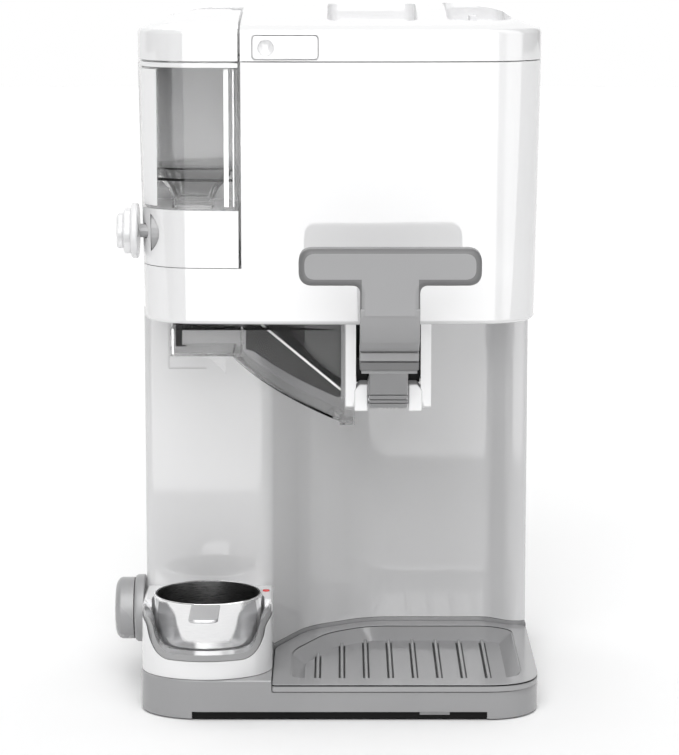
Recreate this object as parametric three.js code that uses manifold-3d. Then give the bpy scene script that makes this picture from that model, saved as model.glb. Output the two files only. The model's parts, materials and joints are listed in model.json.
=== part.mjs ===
// Ice cream maker: a rotating freezer bowl over a dispensing spout, with a mix-in hopper, a clear chute,
// a melting cup on a warm pod and a lift-out drip tray. Millimetres, +Z up, the front faces -Y.
// X is counted from the middle of the body; the whole model is shifted once, at the end.
import * as THREE from 'three';
import { mergeVertices } from 'three/addons/utils/BufferGeometryUtils.js';
import Module from 'manifold-3d';

const wasm = await Module();
wasm.setup();

// Driving dimensions
const GAP = 0.4; // clearance between touching pieces
const WALL = 2.5; // wall of the moulded shells
const BASE_HALF = 117.4; // half-width of the plinth, the column and the tray
const HOUSING_HALF = 116.6; // half-width of the upper housing at its top
const HOUSING_TAPER = 3; // how much narrower its bottom is, on each side
const FRONT = -87; // front face of the housing at its middle
const BOW = 3; // how far that face bows forward
const BODY_REAR = 140; // back edge of the side walls
const REAR = 145; // back face of the rear cover
const CORNER = 35; // front corners of the housing in plan
const PLINTH_FRONT = -90;
const PLINTH_TOP = 24;
const PLINTH_LIFT = 5.2; // clear height under the plinth between its pads
const PAD_HALF = 86.3; // inner edge of the corner pads
const HOUSING_BOTTOM = 232.5;
const HOUSING_TOP = 383;
const LID_BOTTOM = HOUSING_TOP + GAP;
const LID_EDGE = 401.8; // top of the lid's front face
const LID_TOP = 412.5;
const DIAL_TIP = 136.7;
const BODY_X = (DIAL_TIP - BASE_HALF) / 2; // centres the whole, dial included, on X

// Bowl, gears and spout stand on one vertical axis
const AXIS_X = 28.5;
const AXIS_Y = 5;
const WELL_R = 80;
const BOWL_R = 76;
const LINER_R = 63;
const GEAR_MODULE = 8 / 3;
const BOWL_TEETH = 48;
const IDLER_TEETH = 16;
const PINION_TEETH = 10;
const GEAR_Z = 238.2;
const GEAR_THICK = 7.4;
const TRAIN_ANGLE = THREE.MathUtils.degToRad(148); // direction from the bowl axis to the motor
const NOZZLE_R = 12.4;
const NOZZLE_BORE = 8.8;

// Hopper
const HOPPER_RIGHT = -57.8;
const HOPPER_BACK = -8;
const HOPPER_CORNER = 5; // its rear right corner in plan
const HOPPER_BOTTOM = 265.3;
const HOPPER_WINDOW = 298.6;
const HOPPER_FUNNEL = 304;
const DRUM_Y = -60;
const DRUM_Z = 284.6;
const DRUM_R = 12.5;
const CAP_PIVOT = [HOPPER_BACK - 6.4, 404.8];
const BARREL_R = 5.2;

// Dispensing lever and its bracket
const PIN_Y = -70;
const PIN_Z = 187;
const PIN_R = 2.5;
const CHEEKS = [3.5, 9.5, 47, 53]; // outer and inner faces, left then right
const LEVER_X = 28.1;
const BAR_HALF = 50.8;
const STEM_HALF = 16.7;
const TONGUE_HALF = 11;

// Pod, cup and dial
const POD_X = -78.3;
const POD_HALF = 38.5;
const POD_TOP = 62.5;
const CUP_Y = -45;
const CUP_R = 32.2;
const CUP_BOTTOM = 37.7;
const CUP_TOP = 66.6;
const DIAL_Z = 46.4;

// Tray
const TRAY_TOP = 21.8;
const TRAY_FLOOR = 14;
const RIB_PITCH = 14.6;

const Y_AXIS = new THREE.Matrix4().makeRotationX(0);
const X_AXIS = new THREE.Matrix4().makeRotationZ(-Math.PI / 2);
const Z_AXIS = new THREE.Matrix4().makeRotationX(Math.PI / 2);

// Geometry to solid and back
function solidOf(geometry) {
  const bare = geometry.clone();
  bare.deleteAttribute('normal');
  bare.deleteAttribute('uv');
  const merged = mergeVertices(bare);
  const corners = Uint32Array.from(merged.index.array);
  const at = merged.attributes.position;
  const [a, b, c] = [new THREE.Vector3(), new THREE.Vector3(), new THREE.Vector3()];
  let volume = 0;
  for (let i = 0; i < corners.length; i += 3) {
    a.fromBufferAttribute(at, corners[i]);
    b.fromBufferAttribute(at, corners[i + 1]);
    c.fromBufferAttribute(at, corners[i + 2]);
    volume += a.dot(b.cross(c));
  }
  if (volume < 0) corners.reverse();
  return new wasm.Manifold(new wasm.Mesh({ numProp: 3, vertProperties: at.array, triVerts: corners }));
}

function geometryOf(solid) {
  const mesh = solid.getMesh();
  const geometry = new THREE.BufferGeometry();
  geometry.setAttribute('position', new THREE.BufferAttribute(mesh.vertProperties, 3));
  geometry.setIndex(new THREE.BufferAttribute(mesh.triVerts, 1));
  geometry.computeVertexNormals();
  return geometry;
}

const join = (...solids) => solids.reduce((sum, solid) => sum.add(solid));
const cut = (solid, ...tools) => tools.reduce((rest, tool) => rest.subtract(tool), solid);

// Simple solids
function block(x0, x1, y0, y1, z0, z1) {
  const box = new THREE.BoxGeometry(x1 - x0, y1 - y0, z1 - z0);
  return solidOf(box.translate((x0 + x1) / 2, (y0 + y1) / 2, (z0 + z1) / 2));
}

function rod(axis, radius, from, to, sides = 20) {
  const start = new THREE.Vector3(...from);
  const middle = start.clone().add(new THREE.Vector3(...to)).divideScalar(2);
  const length = start.distanceTo(new THREE.Vector3(...to));
  const cylinder = new THREE.CylinderGeometry(radius, radius, length, sides).applyMatrix4(axis);
  return solidOf(cylinder.translate(middle.x, middle.y, middle.z));
}

const post = (radius, x, y, z0, z1, sides) => rod(Z_AXIS, radius, [x, y, z0], [x, y, z1], sides);
const axle = (radius, y, z, x0, x1, sides) => rod(X_AXIS, radius, [x0, y, z], [x1, y, z], sides);
const bolt = (radius, x, z, y0, y1, sides) => rod(Y_AXIS, radius, [x, y0, z], [x, y1, z], sides);

function turned(profile, x, y, sides = 28) {
  const points = profile.map(([r, z]) => new THREE.Vector2(r, z));
  return solidOf(new THREE.LatheGeometry(points, sides).applyMatrix4(Z_AXIS).translate(x, y, 0));
}

function ring(inner, outer, x, y, z0, z1, sides) {
  return turned([[inner, z0], [outer, z0], [outer, z1], [inner, z1], [inner, z0]], x, y, sides);
}

// Outlines: corner points with rounded corners, and the same outline moved inwards
function rounded(points, radii) {
  const shape = new THREE.Shape();
  points.forEach(([x, y], i) => {
    const corner = new THREE.Vector2(x, y);
    const before = new THREE.Vector2(...points.at(i - 1)).sub(corner);
    const after = new THREE.Vector2(...points[(i + 1) % points.length]).sub(corner);
    const wanted = Array.isArray(radii) ? radii[i] : radii;
    const radius = Math.min(wanted, 0.49 * before.length(), 0.49 * after.length());
    const start = before.setLength(radius).add(corner);
    const end = after.setLength(radius).add(corner);
    if (i === 0) shape.moveTo(start.x, start.y);
    else shape.lineTo(start.x, start.y);
    if (radius > 0) shape.quadraticCurveTo(corner.x, corner.y, end.x, end.y);
  });
  shape.closePath();
  return shape;
}

function inset(points, distance) {
  return points.map(([x, y], i) => {
    const corner = new THREE.Vector2(x, y);
    const a = corner.clone().sub(new THREE.Vector2(...points.at(i - 1))).normalize();
    const b = new THREE.Vector2(...points[(i + 1) % points.length]).sub(corner).normalize();
    const turn = a.x * b.y - a.y * b.x;
    if (Math.abs(turn) < 1e-6) return [x - a.y * distance, y + a.x * distance];
    const shift = b.sub(a).multiplyScalar(distance / turn);
    return [x + shift.x, y + shift.y];
  });
}

const rectangle = (x0, x1, y0, y1) => [[x0, y0], [x1, y0], [x1, y1], [x0, y1]];

// The points of an outline, without the doubled ones where its arcs meet
function pointsOf(shape, steps = 3) {
  return shape.getPoints(steps).filter((point, i, all) => point.distanceTo(all.at(i - 1)) > 1e-3);
}

function prism(shape, z0, z1, steps = 3) {
  const settings = { depth: z1 - z0, bevelEnabled: false };
  const outline = new THREE.Shape(pointsOf(shape, steps));
  return solidOf(new THREE.ExtrudeGeometry(outline, settings).translate(0, 0, z0));
}

// A side view, drawn in Y and Z, that runs from x0 to x1
function sideways(shape, x0, x1) {
  const turn = new THREE.Matrix4().makeBasis(
    new THREE.Vector3(0, 1, 0), new THREE.Vector3(0, 0, 1), new THREE.Vector3(1, 0, 0));
  return solidOf(geometryOf(prism(shape, x0, x1)).applyMatrix4(turn));
}

// A front view, drawn in X and Z, that runs from y0 to y1
function frontways(shape, y0, y1) {
  return solidOf(geometryOf(prism(shape, -y1, -y0)).rotateX(Math.PI / 2));
}

// Rings of equal count, one above the other, closed by flat ends
function loft(levels) {
  const count = levels[0].ring.length;
  const positions = levels.flatMap(({ ring: points, z }) => points.flatMap((p) => [p.x, p.y, z]));
  const index = [];
  for (let level = 0; level + 1 < levels.length; level += 1) {
    for (let i = 0; i < count; i += 1) {
      const a = level * count + i;
      const b = level * count + ((i + 1) % count);
      index.push(a, b, b + count, a, b + count, a + count);
    }
  }
  const top = (levels.length - 1) * count;
  for (const [i, j, k] of THREE.ShapeUtils.triangulateShape(levels[0].ring, [])) index.push(i, k, j);
  for (const [i, j, k] of THREE.ShapeUtils.triangulateShape(levels.at(-1).ring, [])) {
    index.push(top + i, top + j, top + k);
  }
  const geometry = new THREE.BufferGeometry();
  geometry.setAttribute('position', new THREE.Float32BufferAttribute(positions, 3));
  geometry.setIndex(index);
  return solidOf(geometry);
}

// Plan of the upper housing, moved inwards by some distance
function housingRing(distance) {
  const half = HOUSING_HALF - distance;
  const side = FRONT + BOW + distance;
  const rear = BODY_REAR - distance;
  const r = Math.max(CORNER - distance, 5);
  const back = Math.max(10 - distance, 2);
  const shape = new THREE.Shape();
  shape.moveTo(-half, side + r);
  shape.absarc(-half + r, side + r, r, Math.PI, 1.5 * Math.PI);
  shape.quadraticCurveTo(0, side - 2 * BOW, half - r, side);
  shape.absarc(half - r, side + r, r, 1.5 * Math.PI, 2 * Math.PI);
  shape.lineTo(half, rear - back);
  shape.absarc(half - back, rear - back, back, 0, 0.5 * Math.PI);
  shape.lineTo(-half + back, rear);
  shape.absarc(-half + back, rear - back, back, 0.5 * Math.PI, Math.PI);
  return pointsOf(shape);
}

const taperAt = (z) => (HOUSING_TAPER * Math.max(HOUSING_TOP - z, 0)) / (HOUSING_TOP - HOUSING_BOTTOM);

function housingBlank(distance, z0, z1) {
  const level = (z, extra = 0) => ({ z, ring: housingRing(distance + extra + taperAt(z)) });
  return loft([level(z0), level(z1)]);
}

// The lid and the hopper cap are cut from one shallow dome
function domeBlank(distance) {
  const level = (z, extra) => ({ z: z - distance, ring: housingRing(distance + extra) });
  return loft([
    { z: LID_BOTTOM, ring: housingRing(distance) },
    level(LID_EDGE - 3.5, 0),
    level(LID_EDGE - 0.8, 0.9),
    level(LID_EDGE, 2.6),
    level(405.2, 9),
    level(409.2, 24),
    level(411.6, 48),
    level(LID_TOP, 76),
  ]);
}

// Plan of the plinth
function baseShape(distance) {
  const half = BASE_HALF - distance;
  const front = PLINTH_FRONT + distance;
  const rear = BODY_REAR - distance;
  const wide = POD_HALF - distance;
  const deep = 31 - distance;
  const r = 30 - distance;
  const back = 20 - distance;
  const shape = new THREE.Shape();
  shape.moveTo(-half, front + deep);
  shape.absellipse(-half + wide, front + deep, wide, deep, Math.PI, 1.5 * Math.PI);
  shape.lineTo(half - r, front);
  shape.absarc(half - r, front + r, r, 1.5 * Math.PI, 2 * Math.PI);
  shape.lineTo(half, rear - back);
  shape.absarc(half - back, rear - back, back, 0, 0.5 * Math.PI);
  shape.lineTo(-half + back, rear);
  shape.absarc(-half + back, rear - back, back, 0.5 * Math.PI, Math.PI);
  return shape;
}

const COLUMN_POINTS = [
  [-BASE_HALF, -8], [-43, -8], [-20.6, 43], [16.8, 68.5], [91.8, 68.5], [105.3, 59.2],
  [BASE_HALF, 57.2], [BASE_HALF, BODY_REAR], [-BASE_HALF, BODY_REAR],
];
const COLUMN_RADII = [6, 8, 14, 14, 8, 5, 5, 12, 12];
const columnShape = (distance) => rounded(
  inset(COLUMN_POINTS, distance), COLUMN_RADII.map((r) => Math.max(r - distance, 1)));

const TRAY_POINTS = [
  [-39.4, PLINTH_FRONT - 1], [BASE_HALF, PLINTH_FRONT - 1], [BASE_HALF, 56.6], [105.1, 58.6],
  [91.6, 67.8], [17, 67.8], [-20, 42.6], [-39.4, -2],
];
const TRAY_RADII = [2, 32, 5, 5, 8, 14, 14, 6];
const BASIN_POINTS = [
  [-28.6, -75], [107.7, -75], [107.7, 44], [94, 54], [18, 54], [-7.8, 36], [-28.6, -9],
];
const BASIN_RADII = [10, 18, 8, 8, 12, 12, 12];
const trayShape = (distance) => rounded(
  inset(TRAY_POINTS, distance), TRAY_RADII.map((r) => Math.max(r - distance, 1)));
const basinShape = (distance) => rounded(
  inset(BASIN_POINTS, distance), BASIN_RADII.map((r) => Math.max(r - distance, 2)));

// Base
function plinth() {
  const open = cut(
    prism(baseShape(0), 0.8, PLINTH_TOP),
    prism(baseShape(3), PLINTH_LIFT - 0.2, 9.4),
    block(-PAD_HALF, PAD_HALF, -100, 150, 0, PLINTH_LIFT),
    block(-130, 130, -50, 110, 0, PLINTH_LIFT),
    prism(trayShape(-0.5), 16.9, 40),
    prism(basinShape(-3), 11.4, 20),
    block(-108, -50, 6, 130, 9, 40));
  return cut(open, ...FEET.map(([x, y]) => post(8.4, x, y, 0, 4.1, 16)));
}

const FEET = [[-98, -62], [97, -64], [-98, 124], [98, 124]];
const foot = ([x, y]) => post(8, x, y, 0, 3.7, 16);
const bottomCover = () => prism(baseShape(3.5), PLINTH_LIFT + 0.3, 7.4);

function columnShell() {
  const rearOpening = block(-110, 110, 125, 150, 30, 226);
  const shell = cut(prism(columnShape(0), PLINTH_TOP + 0.3, HOUSING_BOTTOM - 0.3),
    prism(columnShape(WALL), PLINTH_TOP, HOUSING_BOTTOM));
  return cut(shell, rearOpening, axle(3.6, 0, DIAL_Z, -125, -105, 12));
}

function rearCover() {
  const plate = prism(rounded(rectangle(-112, 112, BODY_REAR + 0.3, REAR), [1, 1, 4, 4]), 27, 378);
  const holes = SCREWS.map(([x, z]) => bolt(3.7, x, z, 130, 150, 12));
  return cut(plate, ...holes, bolt(7.5, 80, 44, 130, 150, 16));
}

const SCREWS = [[-98, 40], [98, 40], [-98, 366], [98, 366]];
const rearScrew = ([x, z]) => bolt(3.2, x, z, 136.5, 144.3, 12);

function cordGland() {
  const collar = ring(4, 7, 0, 0, 0, 5.5, 16);
  return solidOf(geometryOf(collar).rotateX(-Math.PI / 2).translate(80, 138.8, 44));
}

// Upper housing
function hopperBay(distance, z0, z1) {
  return block(-150, HOPPER_RIGHT + 1.6 + distance, -120, HOPPER_BACK + distance, z0 - distance, z1);
}

function upperHousing() {
  const rim = (z, extra) => ({ z, ring: housingRing(extra + taperAt(z)) });
  const outer = loft([rim(HOUSING_BOTTOM, 7), rim(HOUSING_BOTTOM + 2, 2.4), rim(HOUSING_BOTTOM + 7, 0),
    rim(HOUSING_TOP, 0)]);
  const inner = loft([rim(HOUSING_BOTTOM + WALL, 7), rim(HOUSING_BOTTOM + 7, 3), rim(HOUSING_TOP + 1, WALL)]);
  const shell = cut(outer, inner, block(-106, 106, 125, 150, 242, 374));
  const bayWalls = outer.intersect(hopperBay(WALL, HOPPER_BOTTOM - GAP, HOUSING_TOP));
  return cut(
    join(shell, bayWalls),
    hopperBay(0, HOPPER_BOTTOM - GAP, HOUSING_TOP + 2),
    post(20.5, AXIS_X, AXIS_Y, 225, 240, 20),
    post(10, MOTOR_X, MOTOR_Y, 225, 240, 16),
    prism(rounded(rectangle(-94, -66, -72, -44), 3), 225, 275),
    block(-112, -62, 90, 125, 225, 240));
}

function topDeck() {
  return cut(
    prism(new THREE.Shape(housingRing(WALL + 0.6)), 378.2, 380.6),
    post(WELL_R - 0.8, AXIS_X, AXIS_Y, 370, 385, 28),
    hopperBay(WALL + 0.5, HOPPER_BOTTOM, HOUSING_TOP));
}

const bowlWell = () => turned([[30, 247.6], [WELL_R, 247.6], [WELL_R, 377.8], [WELL_R - 2, 377.8],
  [WELL_R - 2, 250.2], [30, 250.2], [30, 247.6]], AXIS_X, AXIS_Y);
const bowlBearing = () => ring(40, 46, AXIS_X, AXIS_Y, 250.6, 252.6, 20);

// Bowl: an outer wall and a liner with the freezing gel between them
const bowlOuter = () => turned([[20.4, 246], [28, 246], [28, 253], [BOWL_R, 253], [BOWL_R, 372],
  [BOWL_R - 2, 372], [BOWL_R - 2, 255.5], [20.4, 255.5], [20.4, 246]], AXIS_X, AXIS_Y);
const bowlLiner = () => turned([[15, 240], [19.6, 240], [19.6, 260], [LINER_R + 2, 260],
  [LINER_R + 2, 372.4], [BOWL_R, 372.4], [BOWL_R, 374.6], [LINER_R, 374.6], [LINER_R, 262], [15, 262],
  [15, 240]], AXIS_X, AXIS_Y);

// Gears: straight-sided teeth; the first tooth, or gap, points along the given angle
function gear(teeth, x, y, angle, bore, gapFirst = false) {
  const pitch = (2 * Math.PI) / teeth;
  const radius = (GEAR_MODULE * teeth) / 2;
  const first = gapFirst ? angle + pitch / 2 : angle;
  const root = radius - 1.12 * GEAR_MODULE;
  const tip = radius + 0.82 * GEAR_MODULE;
  const points = [];
  for (let tooth = 0; tooth < teeth; tooth += 1) {
    const middle = first + tooth * pitch;
    for (const [r, share] of [[root, -0.3], [tip, -0.12], [tip, 0.12], [root, 0.3]]) {
      const at = middle + share * pitch;
      points.push(new THREE.Vector2(x + r * Math.cos(at), y + r * Math.sin(at)));
    }
  }
  const wheel = prism(new THREE.Shape(points), GEAR_Z, GEAR_Z + GEAR_THICK);
  return bore ? cut(wheel, post(bore, x, y, 230, 255, 16)) : wheel;
}

const IDLER_REACH = (GEAR_MODULE * (BOWL_TEETH + IDLER_TEETH)) / 2;
const MOTOR_REACH = IDLER_REACH + (GEAR_MODULE * (IDLER_TEETH + PINION_TEETH)) / 2;
const IDLER_X = AXIS_X + IDLER_REACH * Math.cos(TRAIN_ANGLE);
const IDLER_Y = AXIS_Y + IDLER_REACH * Math.sin(TRAIN_ANGLE);
const MOTOR_X = AXIS_X + MOTOR_REACH * Math.cos(TRAIN_ANGLE);
const MOTOR_Y = AXIS_Y + MOTOR_REACH * Math.sin(TRAIN_ANGLE);

const bowlGear = () => gear(BOWL_TEETH, AXIS_X, AXIS_Y, TRAIN_ANGLE, 20.4);
const idlerGear = () => gear(IDLER_TEETH, IDLER_X, IDLER_Y, TRAIN_ANGLE + Math.PI, 3.5, true);
const idlerPin = () => post(3, IDLER_X, IDLER_Y, HOUSING_BOTTOM + WALL + 0.3, 246.5, 12);
const motorPinion = () => join(
  gear(PINION_TEETH, MOTOR_X, MOTOR_Y, TRAIN_ANGLE + Math.PI, 0),
  post(3, MOTOR_X, MOTOR_Y, 220.5, GEAR_Z + 1, 12));
const gearMotor = () => join(
  post(26, MOTOR_X, MOTOR_Y, 118, 196, 20),
  post(21, MOTOR_X, MOTOR_Y, 195, 219.8, 20),
  post(9, MOTOR_X, MOTOR_Y, 112, 119, 16));
const motorBracket = () => cut(
  block(MOTOR_X - 36, MOTOR_X + 34, MOTOR_Y - 26, MOTOR_Y + 26, 222.5, 225),
  post(8, MOTOR_X, MOTOR_Y, 220, 230, 16));

// Lid
function pocketWalls(x0, x1, y0, y1, floor) {
  return block(x0 - WALL, x1 + WALL, y0 - WALL, y1 + WALL, floor - WALL, LID_TOP + 1);
}

const WELL_A = [-7, 45, -62, 22, 402.5]; // shallow grip recess
const WELL_B = [62, 99, -60, 50, 397]; // deeper recess with the pour-in port
const PORT = [69, 89, -14, 20];
const BUTTON = [-49.4, -12.2, 384.7, 397.9];

function lidShell() {
  const outer = domeBlank(0);
  const blank = cut(outer, domeBlank(WALL), domeBlank(WALL).translate(0, 0, -3));
  const edge = block(-150, HOPPER_RIGHT + 1.4 + WALL, -120, HOPPER_BACK + 1.8 + WALL, 380, 420);
  const boss = turned([[0, 386], [14, 386], [14, 406], [0, 406]], AXIS_X, AXIS_Y, 24);
  const buttonWalls = block(BUTTON[0] - 3, BUTTON[1] + 3, -100, -78.5, LID_BOTTOM, BUTTON[3] + 3);
  const body = join(blank, ...[edge, pocketWalls(...WELL_A), pocketWalls(...WELL_B), boss, buttonWalls]
    .map((piece) => outer.intersect(piece)));
  const pocket = ([x0, x1, y0, y1, floor]) => prism(rounded(rectangle(x0, x1, y0, y1), 9), floor, 430);
  return cut(
    body,
    block(-150, HOPPER_RIGHT + 1.4, -120, HOPPER_BACK + 1.8, 370, 430),
    pocket(WELL_A),
    pocket(WELL_B),
    block(...PORT, 380, 410),
    post(10, AXIS_X, AXIS_Y, 380, 400, 24),
    block(BUTTON[0] - 0.5, BUTTON[1] + 0.5, -100, -81, BUTTON[2] - 0.5, BUTTON[3] + 0.5));
}

const lidLiner = () => cut(
  ring(14.6, 78.5, AXIS_X, AXIS_Y, LID_BOTTOM, LID_BOTTOM + 2, 28),
  block(PORT[0] - 1, PORT[1] + 1, PORT[2] - 1, PORT[3] + 1, 380, 390));
const lidSeal = () => ring(70, 77, AXIS_X, AXIS_Y, 378.6, LID_BOTTOM - 0.4, 24);

function lidButton() {
  const plate = frontways(rounded(rectangle(...BUTTON), 2.3), FRONT - 0.1, -83.6);
  return cut(plate, bolt(4.9, -41.8, 391.1, FRONT - 2, FRONT + 0.7, 20));
}

function pourCap() {
  const [x0, x1, y0, y1] = PORT;
  const floor = WELL_B[4];
  return join(
    prism(rounded(rectangle(x0 - 4, x1 + 4, y0 - 4, y1 + 4), 4), floor + 0.4, floor + 2.6),
    block(x0 + 0.5, x1 - 0.5, y0 + 0.5, y1 - 0.5, 388, floor + 1),
    block(x0 + 8, x1 - 8, y0 + 4, y1 - 4, floor + 1, floor + 9));
}

function mixingPaddle() {
  const bar = (x0, x1, z0, z1) => block(AXIS_X + x0, AXIS_X + x1, AXIS_Y - 2.5, AXIS_Y + 2.5, z0, z1);
  const half = (s) => [[50, 58, 266, 366], [15, 21, 280, 366], [15, 58, 280, 287], [34, 40, 266, 287]]
    .map(([a, b, z0, z1]) => bar(Math.min(s * a, s * b), Math.max(s * a, s * b), z0, z1));
  return join(post(9.4, AXIS_X, AXIS_Y, 352, 399, 20), bar(-58, 58, 357, 366), ...half(1), ...half(-1));
}

// Hopper
function hopperLimits(distance, z0, z1, back = HOPPER_BACK - 1.6) {
  const plan = rectangle(-150, HOPPER_RIGHT - distance, -120, back - distance);
  return prism(rounded(plan, [0, 0, HOPPER_CORNER - distance, 0]), z0, z1);
}

function hopperContainer() {
  const outer = housingBlank(0, HOPPER_WINDOW, 382.4).intersect(hopperLimits(0, 290, 390));
  const inner = housingBlank(2.2, 290, 390).intersect(hopperLimits(2.2, 290, 390));
  const [y, z] = CAP_PIVOT;
  const ear = (x) => sideways(rounded(
    [[y - 4, 376], [HOPPER_BACK - 1.6, 376], [HOPPER_BACK - 1.6, z + 2], [y - 4, z + 2]], 1.5), x, x + 2.6);
  return cut(join(cut(outer, inner), ear(-100), ear(HOPPER_RIGHT - 5)), axle(1.9, y, z, -110, -50, 12));
}

function hopperFunnel() {
  const plan = (x0, x1, y0, y1, r) => pointsOf(rounded(rectangle(x0, x1, y0, y1), [r, 2, 2, 2]));
  const outer = loft([
    { z: HOPPER_FUNNEL, ring: plan(-96, -72, -70, -50, 3) },
    { z: 318, ring: plan(-107, -62.5, -77, -14, 28) },
    { z: 321, ring: plan(-107, -62.5, -77, -14, 28) }]);
  const inner = loft([
    { z: HOPPER_FUNNEL - 1, ring: plan(-94.5, -73.5, -68.5, -51.5, 3) },
    { z: 318.5, ring: plan(-105.5, -64, -75.5, -15.5, 27) },
    { z: 322, ring: plan(-105.5, -64, -75.5, -15.5, 27) }]);
  const neck = cut(block(-96, -72, -70, -50, HOPPER_WINDOW + 0.4, HOPPER_FUNNEL + 0.5),
    block(-94.5, -73.5, -68.5, -51.5, 290, 310));
  return join(cut(outer, inner), neck);
}

function hopperBase() {
  const body = housingBlank(0, HOPPER_BOTTOM, HOPPER_WINDOW - 0.4).intersect(hopperLimits(0, 260, 300));
  return cut(
    body,
    axle(DRUM_R + 0.6, DRUM_Y, DRUM_Z, -109, -63, 28),
    axle(4.6, DRUM_Y, DRUM_Z, -130, -105, 12),
    block(-94, -74, -70, -50, DRUM_Z, 300),
    prism(rounded(rectangle(-92, -70, -70, -50), 2), 260, DRUM_Z),
    block(-112, -62, -36, -13, 260, 294));
}

const dosingDrum = () => cut(
  join(axle(DRUM_R, DRUM_Y, DRUM_Z, -108.4, -63.6, 28), axle(4, DRUM_Y, DRUM_Z, -115.8, -108, 12)),
  block(-93, -75, DRUM_Y - 8, DRUM_Y + 8, DRUM_Z - 2, 310));

// A round grip with rounded lobes, stepped twice towards its tip
function hopperKnob() {
  const lobes = (radius, depth) => {
    const points = [];
    for (let i = 0; i < 36; i += 1) {
      const at = (i * Math.PI) / 18;
      const r = radius - depth * (0.5 - 0.5 * Math.cos(6 * at));
      points.push(new THREE.Vector2(DRUM_Y + r * Math.cos(at), DRUM_Z + r * Math.sin(at)));
    }
    return new THREE.Shape(points);
  };
  return join(
    axle(16, DRUM_Y, DRUM_Z, -120.4, -116.2, 24),
    sideways(lobes(14.2, 2.4), -124.6, -120),
    sideways(lobes(11, 2.2), -128.7, -124));
}

// The cap's rear edge is rounded about its hinge, with slots for the container's two ears
function hopperCap() {
  const [y, z] = CAP_PIVOT;
  const back = y + BARREL_R;
  const front = -70.5; // the finger ledge's rear
  const limits = hopperLimits(0, 370, 420, back);
  const outer = domeBlank(0).intersect(limits);
  const inner = domeBlank(WALL).intersect(hopperLimits(WALL, 370, 420, back));
  const shell = cut(
    outer,
    inner,
    inner.translate(0, 0, -4),
    block(-150, -50, y, 0, z, 420),
    block(-150, -50, -120, front, LID_EDGE - 0.6, 420));
  const lining = (y0, z0, z1) => domeBlank(0.5).intersect(
    block(-150, HOPPER_RIGHT, y0, front + WALL, z0, z1));
  const shelf = lining(-120, LID_EDGE - 3.2, LID_EDGE - 0.6);
  const wall = lining(front, LID_EDGE - 1, 420);
  const barrel = axle(BARREL_R, y, z, -120, HOPPER_RIGHT, 20).intersect(domeBlank(0)).intersect(limits);
  return cut(
    join(shell, shelf, wall, barrel),
    block(-100.6, -96.8, y - BARREL_R - 0.2, 0, 370, 420),
    block(HOPPER_RIGHT - 5.6, -50, y - BARREL_R - 0.2, 0, 370, 420),
    axle(1.9, y, z, -130, -50, 12));
}

const capHingePin = () => axle(1.5, ...CAP_PIVOT, -99.5, HOPPER_RIGHT - 2.8, 12);

// Chute: an open trough that slopes down under the left cheek
function mixInChute() {
  const outline = (d) => rounded([[-98 + d, 232], [-98 + d, 213 + d], [-56, 213 + d], [0, 170 + d],
    [CHEEKS[0] - 0.6 - d, 170 + d], [CHEEKS[0] - 0.6 - d, 232]], 0.8);
  const lip = frontways(rounded([[0, 170], [9, 170], [9, 172], [0, 172]], 0.5), -72, -44);
  const collar = block(-98, -53, -74, -30, 213, 232);
  const trough = cut(join(frontways(outline(0), -74, -30), collar),
    frontways(outline(2), -72, -32), block(-96, -56, -72, -32, 215, 240));
  return cut(join(trough, lip), block(-3, 12, -66, -50, 172, 182));
}

// Dispensing bracket, nozzle, valve and lever
function spoutBracket() {
  const cheek = (x0, x1) => sideways(rounded([[-76, 178], [-58, 178], [24, 184], [28, 190], [28, 232],
    [-76, 232]], [5, 5, 3, 3, 0, 0]), x0, x1);
  const boss = (x0, x1) => axle(8.5, PIN_Y, PIN_Z, x0, x1, 24);
  const body = join(
    cheek(CHEEKS[0], CHEEKS[1]),
    cheek(CHEEKS[2], CHEEKS[3]),
    boss(CHEEKS[1] - 1, 16.2),
    boss(40, CHEEKS[2] + 1),
    block(CHEEKS[0], CHEEKS[3], 23, 28, 190, 232),
    block(CHEEKS[0] + 1, CHEEKS[3] - 1, -11, 24, 184, 190));
  return cut(
    body,
    post(NOZZLE_R + 0.5, AXIS_X, AXIS_Y, 180, 195, 20),
    axle(PIN_R + 0.4, PIN_Y, PIN_Z, 0, 60, 12));
}

const leverPin = () => axle(PIN_R, PIN_Y, PIN_Z, CHEEKS[0] + 0.5, CHEEKS[3] - 0.5, 12);

function returnSpring() {
  class Helix extends THREE.Curve {
    getPoint(t, target = new THREE.Vector3()) {
      const turn = t * 4 * 2 * Math.PI;
      return target.set(24 + 8.4 * t, PIN_Y + 5.2 * Math.cos(turn), PIN_Z + 5.2 * Math.sin(turn));
    }
  }
  const wire = new THREE.Shape();
  wire.absarc(0, 0, 0.6, 0, 2 * Math.PI);
  const settings = { steps: 36, extrudePath: new Helix(), curveSegments: 3, bevelEnabled: false };
  return solidOf(new THREE.ExtrudeGeometry(wire, settings));
}

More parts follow.
